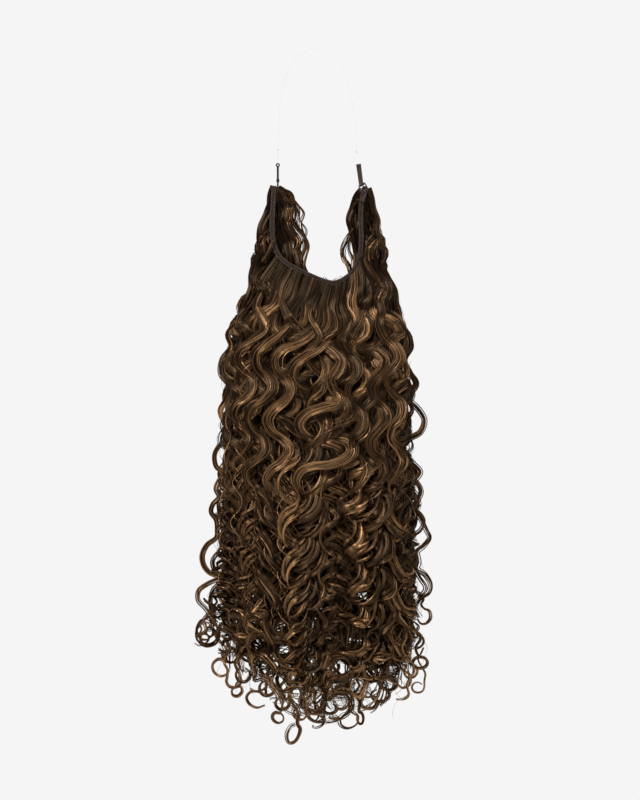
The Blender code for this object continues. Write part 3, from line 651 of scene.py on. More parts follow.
# The mass of hair seen from the front: height, left and right edges, then front and back in mm
OUTLINE = (
    (196, 271, 368, -2, 12), (216, 264, 379, -2, 18), (240, 256, 385, -3, 24), (264, 250, 387, -6, 28),
    (290, 246, 397, -13, 32), (320, 233, 408, -22, 36), (360, 223, 411, -32, 41), (420, 221, 411, -39, 45),
    (500, 214, 418, -44, 47), (590, 212, 423, -45, 47), (650, 214, 423, -42, 44), (690, 232, 414, -35, 36),
    (740, 270, 375, -26, 28),
)
EDGES = np.array(OUTLINE[::-1], float).T
EDGE_Z = px_z(EDGES[0])
EDGE_SIDES = (px(EDGES[1], 0)[0], px(EDGES[2], 0)[0], EDGES[3] * MM, EDGES[4] * MM)
# How low the tips hang across the piece: from left to right, in the photograph's pixels
TIPS_U = np.array([-1.0, -0.75, -0.5, -0.25, 0.0, 0.25, 0.5, 0.75, 1.0])
TIPS_Y = np.array([652, 684, 708, 724, 716, 719, 710, 694, 680])
# The height of one wave of a lock near its root and near its tip
WAVE_TOP, WAVE_FOOT = 44 * MM, 30 * MM
# How far a curl swings to a side, near its root and near its tip
SWING_TOP, SWING_FOOT = 7.3 * MM, 8.0 * MM
# Tones stay inside the ramp of the hair's colours
DARKEST, LIGHTEST = 0.02, 0.98
CARAMEL, BROWN = 0.68, 0.40
# The middle of the locks' roots along the band, and how far ahead or behind it layers reach
ROOT_MIDDLE = 0.537
WIDEST = 0.93
# The width in mm at which a lock has the wisps that its layer names
USUAL_WIDTH = 13


def envelope(z):
    """The mass's left, right, front and back at a height."""
    return [np.interp(z, EDGE_Z, side) for side in EDGE_SIDES]


def column(u, v, z, inset):
    """The place of a column of hair at a height: u across and v in depth run from -1 to 1."""
    left, right, front, back = envelope(z)
    half = (right - left) / 2 - inset
    deep = (back - front) / 2 - inset * 0.7
    return (left + right) / 2 + u * half, (front + back) / 2 + v * np.maximum(deep, 0)


def hermite(knots, z):
    """x and y at the heights z, smoothly through knots of (x, y, z) that go down."""
    knots = np.asarray(knots, float)
    s = -knots[:, 2]
    slope = np.gradient(knots[:, :2], s, axis=0)
    i = np.clip(np.searchsorted(s, -z) - 1, 0, len(s) - 2)
    h = (s[i + 1] - s[i])[:, None]
    q = np.clip((-z - s[i])[:, None] / h, 0, 1)
    return ((2 * q**3 - 3 * q**2 + 1) * knots[i, :2] + (q**3 - 2 * q**2 + q) * h * slope[i]
            + (-2 * q**3 + 3 * q**2) * knots[i + 1, :2] + (q**3 - q**2) * h * slope[i + 1])


def summed(rate, z):
    """A rate over heights that go down, summed from the top."""
    return np.concatenate([[0], np.cumsum(0.5 * (rate[1:] + rate[:-1]) * -np.diff(z))])


PHASE_Z = np.linspace(px_z(180), px_z(760), 600)
PHASE = summed(TURN / mix(WAVE_TOP, WAVE_FOOT, below(PHASE_Z, 300, 700)), PHASE_Z)


def common_phase(z):
    return np.interp(-z, -PHASE_Z, PHASE)


def sample_heights(top, foot, fineness):
    """Heights from the root to the tip, closer together where the curls are tighter."""
    z = np.linspace(top, foot, 400)
    t = (top - z) / (top - foot)
    total = summed(mix(11.0 / WAVE_TOP, 13.5 / WAVE_FOOT, below(z, 320, 600))
                   * (1 + 1.0 * smooth((t - 0.84) / 0.1)) * fineness, z)
    return np.interp(np.linspace(0, total[-1], max(12, int(total[-1]))), total, z)


# Places low in the mass where light shows between the locks: middle and radius in the photograph's pixels
POCKETS = (
    (257, 607, 7.5), (233, 620, 5.5), (256, 624, 6), (280, 627, 5), (317, 622, 4.5), (335, 638, 6),
    (351, 638, 8), (362, 596, 5), (374, 636, 4.5), (398, 634, 7), (228, 645, 4.5), (257, 645, 5),
    (240, 664, 4), (285, 650, 4.5), (310, 662, 5.5), (340, 668, 6), (381, 659, 4.5), (361, 687, 7),
    (316, 700, 7), (340, 703, 7), (375, 690, 5), (279, 682, 4.5), (297, 692, 4), (266, 672, 4),
    (392, 668, 4),
)
# How far round a pocket strands are moved, in its own radius
POCKET_REACH = 2.6


def part_round_pockets(paths, stout):
    """Moves strands of a given radius aside, round the pockets, which narrow towards the front."""
    paths = paths.copy()
    axis_x, axis_z = px(FRAME_W / 2, FRAME_H / 2)
    wider = 1 + paths[..., 1] / CAMERA_AWAY
    for x, y, size in POCKETS:
        pocket_x, pocket_z = px(x, y)
        middle_x, middle_z = axis_x + (pocket_x - axis_x) * wider, axis_z + (pocket_z - axis_z) * wider
        ahead, down = paths[..., 0] - middle_x, paths[..., 2] - middle_z
        away = np.maximum(np.hypot(ahead, down), 0.02 * MM)
        room = size * PIXEL + stout
        grow = np.where(away < POCKET_REACH * room, (room + away * (1 - 1 / POCKET_REACH)) / away, 1.0)
        paths[..., 0] = middle_x + ahead * grow
        paths[..., 2] = middle_z + down * grow
    return paths


def lock(out, knots, foot, width, wisps, tone, across=(1.0, 0.0), outward=(0.0, -1.0), thickness=5.0,
         wisp=0.47, swing=1.0, phase=None, fineness=1.0, start=55.0, root_width=5.0, root_way=(1.0, 0.0, 0.0),
         gather_to=0.40, uneven=0.30, solid=0.62):
    """One lock: ribbons side by side that share a curl, over a core painted darker as shade, and part into
    smaller ringlets on the way down. Widths and radii are in mm, start is how far below the root the curl is
    full, root_way the band's direction there, uneven how the ribbons' faces differ and solid where the core
    thins."""
    top = knots[0][2]
    z = sample_heights(top, foot, fineness)
    fallen = top - z
    t = fallen / (top - foot)
    low = below(z, 330, 620)
    tip = ease(t, 0.84, 0.16)
    slow = smooth(fallen / 0.12)
    wander = TURN * rng.random(4)
    base = np.column_stack([hermite(knots, z), z])
    base[:, 0] += slow * 3.0 * MM * np.sin(-z / 0.044 + wander[0])
    base[:, 1] += slow * 2.4 * MM * np.sin(-z / 0.050 + wander[1])
    phase = rng.normal(0, 0.9) if phase is None else phase
    hand = rng.choice((-1, 1))
    pace = rng.normal(0, 0.08)
    turn = common_phase(z) * (1 + pace) - common_phase(top) * pace + phase + TURN * 0.9 * tip
    # Some waves are longer and some bolder than others
    turn = turn + 0.95 * np.sin(fallen / 0.047 + wander[3]) * slow
    bold = 1 + 0.20 * np.sin(fallen / 0.034 + wander[2] * 2) * slow

    # The core comes first, then the wisps, each of which belongs to a ringlet
    n = wisps + 1
    jitter = rng.normal(0, 1, (n, 4))
    jitter[0] = 0
    stray = (1.0 + 2.2 * (rng.random(n) < 0.12))[:, None]
    ringlets = max(2, round(wisps / 5))
    member = np.append(ringlets, np.arange(wisps) * ringlets // wisps)
    parted = ease(t, 0.22, 0.40) * ease(t, 0.72, 0.2, 1.0, 0.55)
    own_turn = np.append(rng.normal(0, 0.95, ringlets), 0.0)[member][:, None]
    own_size = np.append(rng.normal(0, 0.13, ringlets), 0.0)[member][:, None]
    own_way = np.vstack([rng.normal(0, 2.2, (ringlets, 3)), np.zeros(3)])[member][:, None]
    shut = ease(t, 0.45, 0.35, 1.0, 0.6)
    turns = turn + jitter[:, :1] * stray * (0.06 + 0.07 * low * shut) + own_turn * parted
    full = smooth(fallen / (start * MM)) * bold * mix(SWING_TOP, SWING_FOOT, low)
    full = full * swing * mix(1.0, 0.88, tip)
    amplitude = full * (1 + jitter[:, 1:2] * stray * 0.07 * shut + own_size * parted)

    # The curl goes round in a plane that leans and spins on the way down
    lean = rng.choice((-1, 1)) * rng.uniform(0.7, 1.2)
    tilt = np.clip((mix(0.10, 0.80, low) + 0.40 * tip) * lean, -1.3, 1.3)
    spin = rng.normal(0, 0.30) + low * rng.normal(0, 0.8)
    aside_way, out_way = np.array([*across, 0.0]), np.array([*outward, 0.0])
    cos, sin = np.cos(spin)[:, None], np.sin(spin)[:, None]
    curl = (amplitude * np.cos(turns))[..., None] * (aside_way * cos + out_way * sin)
    curl = curl + ((hand * amplitude * mix(0.45, 0.95, low) * np.cos(tilt) * np.sin(turns))[..., None]
                   * (out_way * cos - aside_way * sin))
    curl[..., 2] += 0.88 * amplitude * np.sin(tilt) * np.sin(turns)
    # The path lingers in its bends, which makes them round
    curl[..., 2] -= 0.23 * amplitude * np.sin(2 * turns) * (1 - 0.6 * low)

    # The wisps spread from the root and gather again in their ringlets
    opened = smooth(fallen / 0.045)
    gather = mix(root_width / width, 1.0, opened)
    closed = ease(t, 0.32, 0.42, 1.0, gather_to) * ease(t, 0.85, 0.15, 1.0, 0.6)
    arc = np.append(0.0, np.linspace(-1, 1, wisps) + rng.normal(0, 0.07, wisps))[:, None]
    middle = np.append(0.0, (member[1:] + 0.5) / ringlets * 2 - 1)[:, None]
    aside = (middle * ease(t, 0.5, 0.35, 1.0, 0.5) + (arc - middle) * closed) * gather
    lay = np.sqrt(np.clip(1 - arc**2 * 0.85, 0.1, 1)) * rng.uniform(0.35, 1.0, (n, 1))
    lay[0] = -0.25
    offset = (aside * width / 2)[..., None] * mix(np.array(root_way), aside_way, opened[:, None])
    offset = offset + (lay * thickness / 2 * mix(0.55, 1.0, opened) * gather * closed)[..., None] * out_way
    paths = base + curl + offset * MM + own_way * (parted * MM)[:, None]
    paths[..., 2] += jitter[:, 2:3] * 1.6 * MM * t**2 * shut

    # Each strand's tone varies at random, and strands towards the lock's edges get painted shade, darker in
    # the valleys between locks.
    own = rng.normal(0, 0.14, (n, 1)) + 0.20 * (rng.random((n, 1)) < 0.20) - 0.20 * arc**2
    # Painted shade darkens the first few cm below the root, under the band; the lower part is made a little
    # lighter, and the tips are painted lighter as light showing through thin ends.
    painted_root_shade_tip_light = 0.36 * (1 - smooth(fallen / 0.048)) - 0.03 * low - 0.12 * tip
    # Painted light and shade: the side of each curl that bulges outward is painted lighter and the inward
    # side darker.
    painted_curl_light_and_shade = 0.11 * np.clip(curl @ out_way / (7 * MM), -1, 1)
    tones = np.clip(tone + own - painted_root_shade_tip_light + painted_curl_light_and_shade + 0.06 * np.sin(turn * 0.37 + wander[2]), DARKEST, LIGHTEST)
    taper = ease(t, 0.0, 0.08, 0.8, 1.0) * ease(t, 0.5, 0.3, 1.0, 1.4) * ease(t, 0.88, 0.12, 1.0, 0.4)
    radii = wisp * MM * taper * (1 + 0.25 * np.clip(jitter[1:, 3:4], -1.5, 1.5))
    cup = arc[1:] * 0.8 + rng.normal(0, uneven, (wisps, 1))
    out.add(part_round_pockets(paths[1:], 0.4 * MM), radii, 2, tones[1:],
            face=out_way * np.cos(cup) + aside_way * np.sin(cup), pull=0.35)
    thin = 1 - 0.93 * smooth((t - solid) / (0.98 - solid))
    body = 0.40 * width * MM * gather * mix(1.0, closed, 0.7) * mix(0.3, 1.0, opened) * thin
    body = np.maximum(body, 0.3 * MM)[None]
    # The core is painted darker than its wisps, as shade inside the lock.
    out.add(part_round_pockets(paths[:1], body * 0.8), body, 6, np.maximum(tones[:1] - 0.10, DARKEST),
            flat=min(0.9, thickness / width), face=out_way)


def column_knots(u, v, root, settle, foot, passes=()):
    """Knots from a root on the band to a column and down it."""
    inset = 9.0 * MM
    knots = [tuple(root), *passes]
    z = knots[-1][2] - settle
    while z > foot + 0.03:
        knots.append((*column(u, v, z, inset), z))
        z -= 0.055
    return [*knots, (*column(u, v, foot, inset), foot)]


def shared_phase(x):
    """Neighbouring locks curl together, so the phase drifts slowly across the piece."""
    return 1.5 * math.sin(x / 0.034 + 0.6) + 0.9 * math.sin(x / 0.017 + 2.0)


def tip_height(u):
    return px_z(np.interp(u, TIPS_U, TIPS_Y))


def spread_tone(chance):
    """Most locks are dark and some are caramel."""
    return (CARAMEL if rng.random() < chance else BROWN) + rng.normal(0, 0.06)


def places_across(count, layer, loose):
    """Places across the piece, from left to right. Those of layer 1 lie between those of layer 0."""
    for i in range(count):
        yield mix(-WIDEST, WIDEST, (i + 0.5 * layer) / (count - 0.5)) + rng.normal(0, loose)


def root_at(share, y, z):
    """A root beside the band, y and z mm from it."""
    return band_at(share) + np.array([0.0, y * MM, z * MM])


def front_locks(out, first, last):
    """The visible front: staggered layers that fan out from the band's low middle."""
    for layer, (count, v, cut, wisps) in enumerate(((15, -0.62, 14, 10), (17, -0.98, 0, 18))):
        for u in places_across(count, layer, 0.018):
            if not first <= u < last:
                continue
            share = ROOT_MIDDLE + 0.252 * u + rng.normal(0, 0.004)
            root = root_at(share, (2.4, ease(abs(u), 0.60, 0.18, -1.3, 2.4))[layer], -1.2)
            foot = tip_height(u) + (cut + abs(rng.normal(0, 29))) * PIXEL
            knots = column_knots(u, v * (1 - 0.35 * abs(u) ** 3), root, mix(0.062, 0.050, abs(u)), foot)
            width = rng.uniform(9.5, 17.0)
            shade = ease(abs(u), 0.74, 0.16, 0.0, (0.26, 0.10)[layer])
            lock(out, knots, foot, width, int(wisps * width / USUAL_WIDTH), spread_tone(0.36) - shade,
                 phase=shared_phase(knots[2][0]) + rng.normal(0, 0.65), start=62.0, root_width=9.5,
                 root_way=band_way(share))


def back_locks(out):
    for layer, (count, v, cut, wisps) in enumerate(((12, 0.58, 26, 5), (14, 0.98, 8, 11))):
        for u in places_across(count, layer, 0.02):
            share = ROOT_MIDDLE + 0.262 * u + rng.normal(0, 0.004)
            foot = tip_height(u) + (cut + abs(rng.normal(0, 38))) * PIXEL
            knots = column_knots(u, v * (1 - 0.35 * abs(u) ** 3), root_at(share, 3.0, -0.6), 0.055, foot)
            width = rng.uniform(11.0, 17.0)
            lock(out, knots, foot, width, int(wisps * width / USUAL_WIDTH), spread_tone(0.30),
                 outward=(0.0, 1.0), phase=shared_phase(knots[2][0] + 0.05) + rng.normal(0, 1.1), start=65.0,
                 root_width=8.0, root_way=band_way(share))


def inner_locks(out):
    """Locks inside the mass, so that no light comes through its middle, painted darker as shade."""
    count = 24
    for i in range(count):
        u = mix(-0.86, 0.86, (i + 0.5) / count)
        foot = tip_height(u) + rng.uniform(18, 66) * PIXEL
        root = root_at(ROOT_MIDDLE + 0.25 * u, 3.0, -3.0)
        knots = column_knots(u, (-0.25, 0.25, 0.0)[i % 3], root, 0.05, foot)
        lock(out, knots, foot, 18.0, 6, 0.26, thickness=10.0, fineness=0.75, swing=0.95, wisp=0.8, solid=0.84,
             gather_to=0.6)


def side_locks(out, side):
    """Locks from a leg of the band that fall beside the mass, in front, beside and behind."""
    count = 15
    for i in range(count):
        f = (i + 0.5) / count
        angle = mix(-1.05, 1.25, (i * 0.618 + 0.2) % 1.0)
        share = mix(0.008, 0.27, f) if side < 0 else mix(0.992, 0.79, f)
        root = root_at(share, 2.6, 0.0) + np.array([side * 0.5 * MM, 0.0, 0.0])
        u = side * (0.95 - 0.18 * ((i * 0.37) % 1.0))
        foot = tip_height(u) + abs(rng.normal(0, 20)) * PIXEL
        left, right, _, back = envelope(root[2] - 0.022)
        edge = (left if side < 0 else right) - side * rng.uniform(3.0, 9.0) * MM
        depth = mix(2.5 * MM, back * 0.8, 0.15 + 0.6 * rng.random())
        over = (mix(root[0], edge, 0.80), depth, root[2] - 0.024)
        knots = column_knots(u, 0.85 * math.sin(angle), root, 0.050, foot, [over])
        normal = (side * math.cos(angle), math.sin(angle))
        lock(out, knots, foot, rng.uniform(9, 13), 13, spread_tone(0.25) - ease(f, 0.7, 0.2, 0.0, 0.14),
             across=(-normal[1], normal[0]), outward=normal, uneven=1.0 if f < 0.8 else 0.25,
             phase=shared_phase(knots[3][0]) + rng.normal(0, 0.4), start=30.0, root_width=7.0,
             root_way=band_way(share))


# Locks placed on the photograph's frame, for each side of the piece: depth in mm, width in mm, wisps,
# tone and the places that they pass
ROUTES = {
    "left": (
        (4.0, 5.0, 16, 0.26, (
            (278, 188), (284, 192), (288, 202), (287, 216), (291, 229), (298, 240), (297, 252), (300, 264),
            (310, 281))),
        (6.0, 6.5, 16, 0.24, (
            (277, 190), (282, 200), (283, 213), (283, 228), (289, 241), (291, 253), (294, 268))),
        (8.0, 6.0, 14, 0.2, (
            (276, 194), (279, 210), (279, 226), (281, 240), (287, 254), (295, 270))),
        (9.0, 5.0, 12, 0.18, (
            (275, 192), (276, 206), (276, 222), (278, 236), (283, 250), (291, 264))),
        (7.0, 5.0, 12, 0.2, (
            (273, 212), (274, 226), (276, 240), (279, 252), (285, 264), (293, 276))),
        (6.0, 5.0, 12, 0.22, (
            (270, 230), (272, 242), (274, 254), (276, 264), (280, 274))),
        (3.0, 2.6, 6, 0.66, (
            (288, 208), (290, 216), (288, 223), (290, 229), (295, 235), (298, 241), (296, 249))),
        (5.0, 3.4, 9, 0.32, (
            (283, 190), (291, 194), (294, 204), (292, 217), (297, 227), (304, 236), (305, 248), (302, 260),
            (308, 275))),
        (7.0, 3.0, 6, 0.55, (
            (284, 197), (292, 203), (297, 213), (294, 224), (291, 233), (296, 245), (300, 252), (296, 262),
            (303, 276))),
        (3.0, 1.4, 4, 0.52, (
            (288, 193), (297, 204), (304, 213), (301, 223), (303, 233), (308, 245), (306, 256), (305, 266),
            (311, 279))),
        (9.0, 0.9, 2, 0.55, (
            (290, 196), (299, 209), (300, 219), (306, 230), (303, 240), (299, 250), (303, 262))),
        (3.0, 6.0, 16, 0.36, (
            (274, 186), (271, 195), (270, 206), (266, 215), (261, 226), (260, 238), (262, 249), (256, 261),
            (252, 274), (251, 288), (246, 302), (240, 318))),
        (7.0, 7.0, 14, 0.3, (
            (274, 190), (272, 202), (268, 214), (266, 228), (266, 242), (262, 258), (258, 274), (256, 292),
            (250, 310))),
        (-6.0, 4.6, 8, 0.56, (
            (238, 322), (228, 334), (231, 347), (223, 360), (222, 374), (230, 386), (226, 399), (220, 410),
            (224, 422), (231, 432), (226, 441), (218, 447))),
        (3.0, 3.6, 7, 0.54, (
            (232, 432), (226, 441), (218, 447), (214, 456), (216, 467), (224, 474), (219, 481), (216, 489),
            (219, 497), (213, 504), (211, 512), (216, 520), (217, 529), (216, 538), (207, 545), (202, 555),
            (203, 565), (209, 573), (219, 578), (209, 583), (199, 590), (198, 600), (205, 608), (211, 617),
            (216, 626))),
        (6.0, 3.4, 6, 0.46, (
            (236, 444), (227, 451), (224, 462), (227, 472), (232, 480), (226, 488), (231, 496), (236, 505),
            (232, 514), (226, 520), (222, 528), (229, 536), (228, 546), (219, 552), (212, 561), (214, 571),
            (222, 579), (213, 590), (210, 603), (213, 615), (219, 622))),
        (4.0, 2.2, 4, 0.5, (
            (240, 545), (232, 556), (229, 568), (222, 578), (217, 588), (220, 599), (225, 607), (226, 618),
            (220, 627))),
    ),
    "right": (
        (4.0, 5.0, 15, 0.24, (
            (362, 190), (357, 197), (354, 208), (350, 219), (352, 230), (355, 242), (358, 254), (357, 268),
            (350, 284))),
        (6.0, 5.5, 14, 0.22, (
            (362, 194), (358, 206), (356, 220), (357, 234), (360, 248), (361, 262), (356, 277))),
        (5.0, 3.0, 8, 0.46, (
            (359, 198), (353, 206), (349, 217), (352, 228), (349, 238), (344, 248), (344, 257), (349, 266),
            (350, 281))),
        (7.0, 2.2, 5, 0.5, (
            (357, 222), (355, 232), (350, 240), (349, 250), (353, 259), (352, 269), (349, 281))),
        (3.0, 1.2, 3, 0.55, (
            (353, 228), (346, 237), (341, 248), (342, 258), (347, 266), (350, 278))),
        (3.0, 5.5, 15, 0.38, (
            (368, 188), (371, 198), (373, 209), (377, 220), (377, 231), (380, 243), (384, 253), (382, 265),
            (387, 277), (394, 290), (396, 304), (400, 320))),
        (7.0, 7.0, 14, 0.3, (
            (368, 192), (371, 206), (374, 222), (376, 240), (379, 258), (384, 276), (390, 296), (396, 314))),
        (-4.0, 4.4, 8, 0.54, (
            (400, 322), (407, 334), (411, 347), (405, 360), (410, 373), (416, 384), (409, 397), (412, 410),
            (407, 420))),
        (2.0, 4.2, 8, 0.52, (
            (398, 392), (407, 400), (417, 408), (424, 420), (420, 432), (410, 438), (403, 446), (406, 456),
            (413, 464), (420, 472), (415, 480), (411, 488), (416, 496), (418, 506), (412, 514))),
        (5.0, 3.4, 6, 0.5, (
            (408, 478), (417, 483), (421, 492), (417, 501), (412, 508), (418, 514), (423, 522), (427, 530),
            (430, 538), (424, 546), (417, 552), (418, 562), (417, 570), (425, 575), (431, 584), (429, 593),
            (420, 599), (415, 608), (419, 618))),
        (2.0, 2.6, 5, 0.44, (
            (404, 500), (410, 509), (419, 513), (424, 521), (420, 530), (412, 536), (410, 546), (416, 555),
            (414, 566), (419, 577), (425, 588), (418, 598))),
    ),
}
# Broad locks on the front: width in mm, tone and the places that they pass
FRONT_ROUTES = (
    (11.0, 0.52, (
        (286, 283), (278, 292), (282, 303), (288, 316), (297, 328), (308, 338), (320, 345), (332, 352),
        (340, 361), (337, 371), (331, 380), (335, 391), (344, 400), (347, 411), (339, 421), (336, 433))),
    (12.0, 0.6, (
        (339, 287), (346, 297), (351, 308), (348, 321), (339, 331), (328, 341), (318, 350), (306, 357),
        (296, 366), (293, 378), (301, 388), (314, 392), (328, 391), (338, 396), (335, 404), (322, 408),
        (308, 414), (301, 424), (307, 434), (320, 439), (335, 438), (348, 441), (351, 451), (343, 459),
        (329, 464), (313, 466), (302, 471), (298, 482), (305, 492), (316, 499), (325, 507), (327, 517))),
    (11.0, 0.53, (
        (331, 288), (332, 300), (327, 315), (318, 329), (307, 340), (295, 346), (284, 350), (277, 359),
        (279, 371), (288, 381), (291, 392), (284, 402), (274, 409), (268, 419), (273, 431), (284, 439),
        (290, 449), (283, 460), (272, 468), (267, 479), (274, 490), (284, 498), (286, 510))),
    (10.0, 0.54, (
        (307, 286), (305, 300), (298, 314), (288, 327), (277, 338), (266, 346), (258, 355), (259, 367),
        (268, 377), (272, 388), (264, 399), (253, 407), (248, 418), (254, 430), (264, 438), (266, 450),
        (257, 460), (248, 470), (250, 483), (260, 492), (262, 504))),
    (12.0, 0.5, (
        (352, 279), (359, 293), (363, 308), (360, 322), (353, 334), (352, 344), (362, 349), (376, 350),
        (386, 359), (384, 370), (375, 379), (369, 389), (374, 400), (384, 408), (387, 419), (379, 429),
        (370, 438), (371, 450), (381, 459), (385, 471), (377, 482), (368, 491), (371, 504))),
    (9.0, 0.44, (
        (343, 285), (350, 300), (352, 315), (347, 329), (341, 341), (346, 352), (356, 362), (357, 373),
        (349, 384), (347, 395), (355, 405), (362, 415), (360, 427), (352, 437), (353, 449), (362, 458),
        (366, 470), (360, 482), (351, 491), (352, 504), (361, 513))),
    (9.0, 0.5, (
        (363, 266), (371, 282), (377, 297), (381, 311), (379, 325), (384, 337), (394, 347), (398, 359),
        (391, 370), (386, 382), (392, 393), (400, 404), (399, 416), (391, 427), (390, 439), (398, 449),
        (402, 461), (396, 473), (388, 484), (391, 497))),
    (9.0, 0.52, (
        (284, 266), (272, 279), (262, 292), (257, 306), (262, 318), (264, 330), (253, 340), (242, 350),
        (238, 361), (244, 373), (252, 383), (248, 395), (238, 404), (235, 416), (243, 427), (249, 438),
        (243, 450), (235, 461), (239, 474))),
    (8.0, 0.48, (
        (318, 287), (313, 302), (310, 316), (316, 328), (320, 338), (312, 348), (307, 360), (313, 370),
        (323, 379), (322, 391), (312, 400), (309, 412), (318, 422), (321, 434), (313, 444), (310, 456))),
)
# Loops at the foot and sides: middle, half width and height, start and sweep in degrees clockwise from the
# right, where the strand comes from, and wisps
LOOPS = (
    (222, 668, 9, 9, -60, -300, 216, 622, 5), (234, 680, 9, 8, -120, -260, 226, 634, 4),
    (237, 691, 5.5, 6, -90, 330, 240, 650, 4), (257, 700, 11, 9, -30, -290, 262, 655, 4),
    (258, 686, 9, 7, -100, 280, 250, 645, 4), (277, 719, 6, 6, -50, -390, 284, 676, 4),
    (294, 730, 6, 11, -80, 340, 291, 682, 6), (316, 719, 9, 5, -60, 330, 308, 682, 5),
    (318, 725, 7, 3.5, -100, 300, 322, 690, 2), (316, 701, 11, 10, -120, -280, 306, 655, 5),
    (348, 718, 9.5, 9.5, -60, 345, 358, 672, 4), (360, 719, 3.5, 6.5, -90, 300, 352, 682, 4),
    (369, 703, 9, 7, -150, -300, 374, 660, 6), (404, 680, 8, 9, -90, 290, 398, 640, 4),
    (401, 693, 9, 5, -20, 150, 412, 652, 3), (418, 689, 6, 6, -20, 335, 420, 648, 2),
    (420, 663, 8, 6, -90, 690, 416, 625, 5), (423, 616, 7, 9, -80, 235, 414, 585, 5),
    (207, 633, 13, 13, -60, 330, 208, 598, 3), (209, 637, 9, 8, -100, -400, 209, 600, 4),
    (204, 630, 9, 10, -40, 370, 213, 598, 3), (210, 632, 5, 5, -90, 480, 214, 604, 3),
    (202, 640, 8, 6, -120, 300, 209, 612, 2), (229, 655, 8, 9, -70, 310, 232, 618, 5),
    (243, 672, 8, 8, -110, -320, 246, 632, 5), (267, 690, 8, 9, -60, 330, 262, 648, 5),
    (283, 704, 8, 7, -90, -310, 279, 660, 5), (300, 712, 7, 9, -60, 300, 298, 668, 5),
    (330, 705, 9, 8, -80, -330, 334, 662, 5), (341, 700, 8, 9, -100, 300, 338, 658, 4),
    (380, 696, 9, 8, -60, 320, 384, 652, 5), (390, 684, 8, 8, -110, -300, 392, 644, 5),
    (411, 672, 7, 8, -90, 320, 406, 634, 4), (417, 642, 7, 7, -80, 340, 412, 612, 4),
    (250, 652, 9, 9, -80, -320, 252, 612, 5), (274, 668, 9, 8, -100, 310, 270, 628, 5),
    (306, 680, 9, 9, -60, -330, 310, 640, 5), (355, 686, 9, 9, -90, 320, 352, 644, 5),
    (372, 676, 9, 8, -70, -320, 376, 636, 5), (398, 658, 8, 9, -100, 330, 394, 618, 5),
)


# Narrower locks, in mm, are of round strands and have no core
RIBBON_WIDTH = 5.0
# Placed locks that start above this height of the photograph's frame come out from behind the band
BAND_LOCKS_ABOVE = 240
LOOP_STEP_DEGREES = 38
# How many loose hairs there are of each kind, and their radii
NEST_HAIRS, FRIZZ_HAIRS, FLY_AWAYS = 26, 150, 80
NEST_RADIUS, FRIZZ_RADIUS, FLY_AWAY_RADIUS = 0.16 * MM, 0.20 * MM, 0.17 * MM


def route_lock(out, points, y, width, wisps, tone, wisp, roll, rolls=2.0, root_y=None, count=None):
    """A lock along given points, at a depth of y mm: its shape is the route."""
    count = count or 8 * len(points)
    route = traced(points, count)
    t = np.linspace(0, 1, count)
    depth = ease(t, 0, 0.3, y if root_y is None else root_y, y)
    route[:, 1] = depth * MM + roll * MM * np.sin(t * TURN * rolls) * smooth(t / 0.2)
    across = unit(beside(heading(route)))
    paths = []
    for i in range(wisps):
        a = (mix(-1, 1, i / max(1, wisps - 1)) + rng.normal(0, 0.12)) * width / 2 * MM
        d = rng.normal(0, width / 6) * MM
        sway = rng.normal(0, 0.38) * MM * np.sin(t * rng.uniform(9, 16) + rng.random() * 6) * smooth(t / 0.3)
        paths.append(route + across * (a + sway)[:, None] + np.array([0.0, d, 0.0]))
    radii = wisp * MM * ease(t, 0.8, 0.2, 1.0, 0.5) * rng.uniform(0.8, 1.25, (wisps, 1))
    tones = tone + rng.normal(0, 0.13, (wisps, 1)) + 0.16 * (rng.random((wisps, 1)) < 0.2)
    tones = np.clip(tones, DARKEST, LIGHTEST)
    if width < RIBBON_WIDTH:
        out.add(np.array(paths), radii, 3, tones)
        return
    cup = rng.normal(0, 0.45, wisps)
    face = np.stack([np.sin(cup), -np.cos(cup), 0 * cup], axis=1)
    out.add(np.array(paths), radii * 1.25, 2, tones, face=face, pull=0.5)
    # The core beneath the wisps is painted darker, as shade inside the lock.
    out.add(route[None], (0.40 * width * MM) * ease(t, 0.7, 0.3, 1.0, 0.5), 6, max(0.05, tone - 0.18),
            flat=0.5, face=TO_FRONT)


def placed_locks(out, side):
    """Those near the band are finer and darker."""
    for y, width, wisps, tone, points in ROUTES[side]:
        if points[0][1] < BAND_LOCKS_ABOVE:
            route_lock(out, points, y + 3.0, width, wisps, tone, wisp=0.5, roll=2.0, root_y=2.6)
        else:
            route_lock(out, points, y, width, wisps, tone + 0.08, wisp=0.62, roll=4.0)


def averaged(values, reach):
    """A running mean over reach values to each side."""
    window = np.ones(2 * reach + 1) / (2 * reach + 1)
    return np.convolve(np.pad(values, reach, mode="edge"), window, mode="valid")


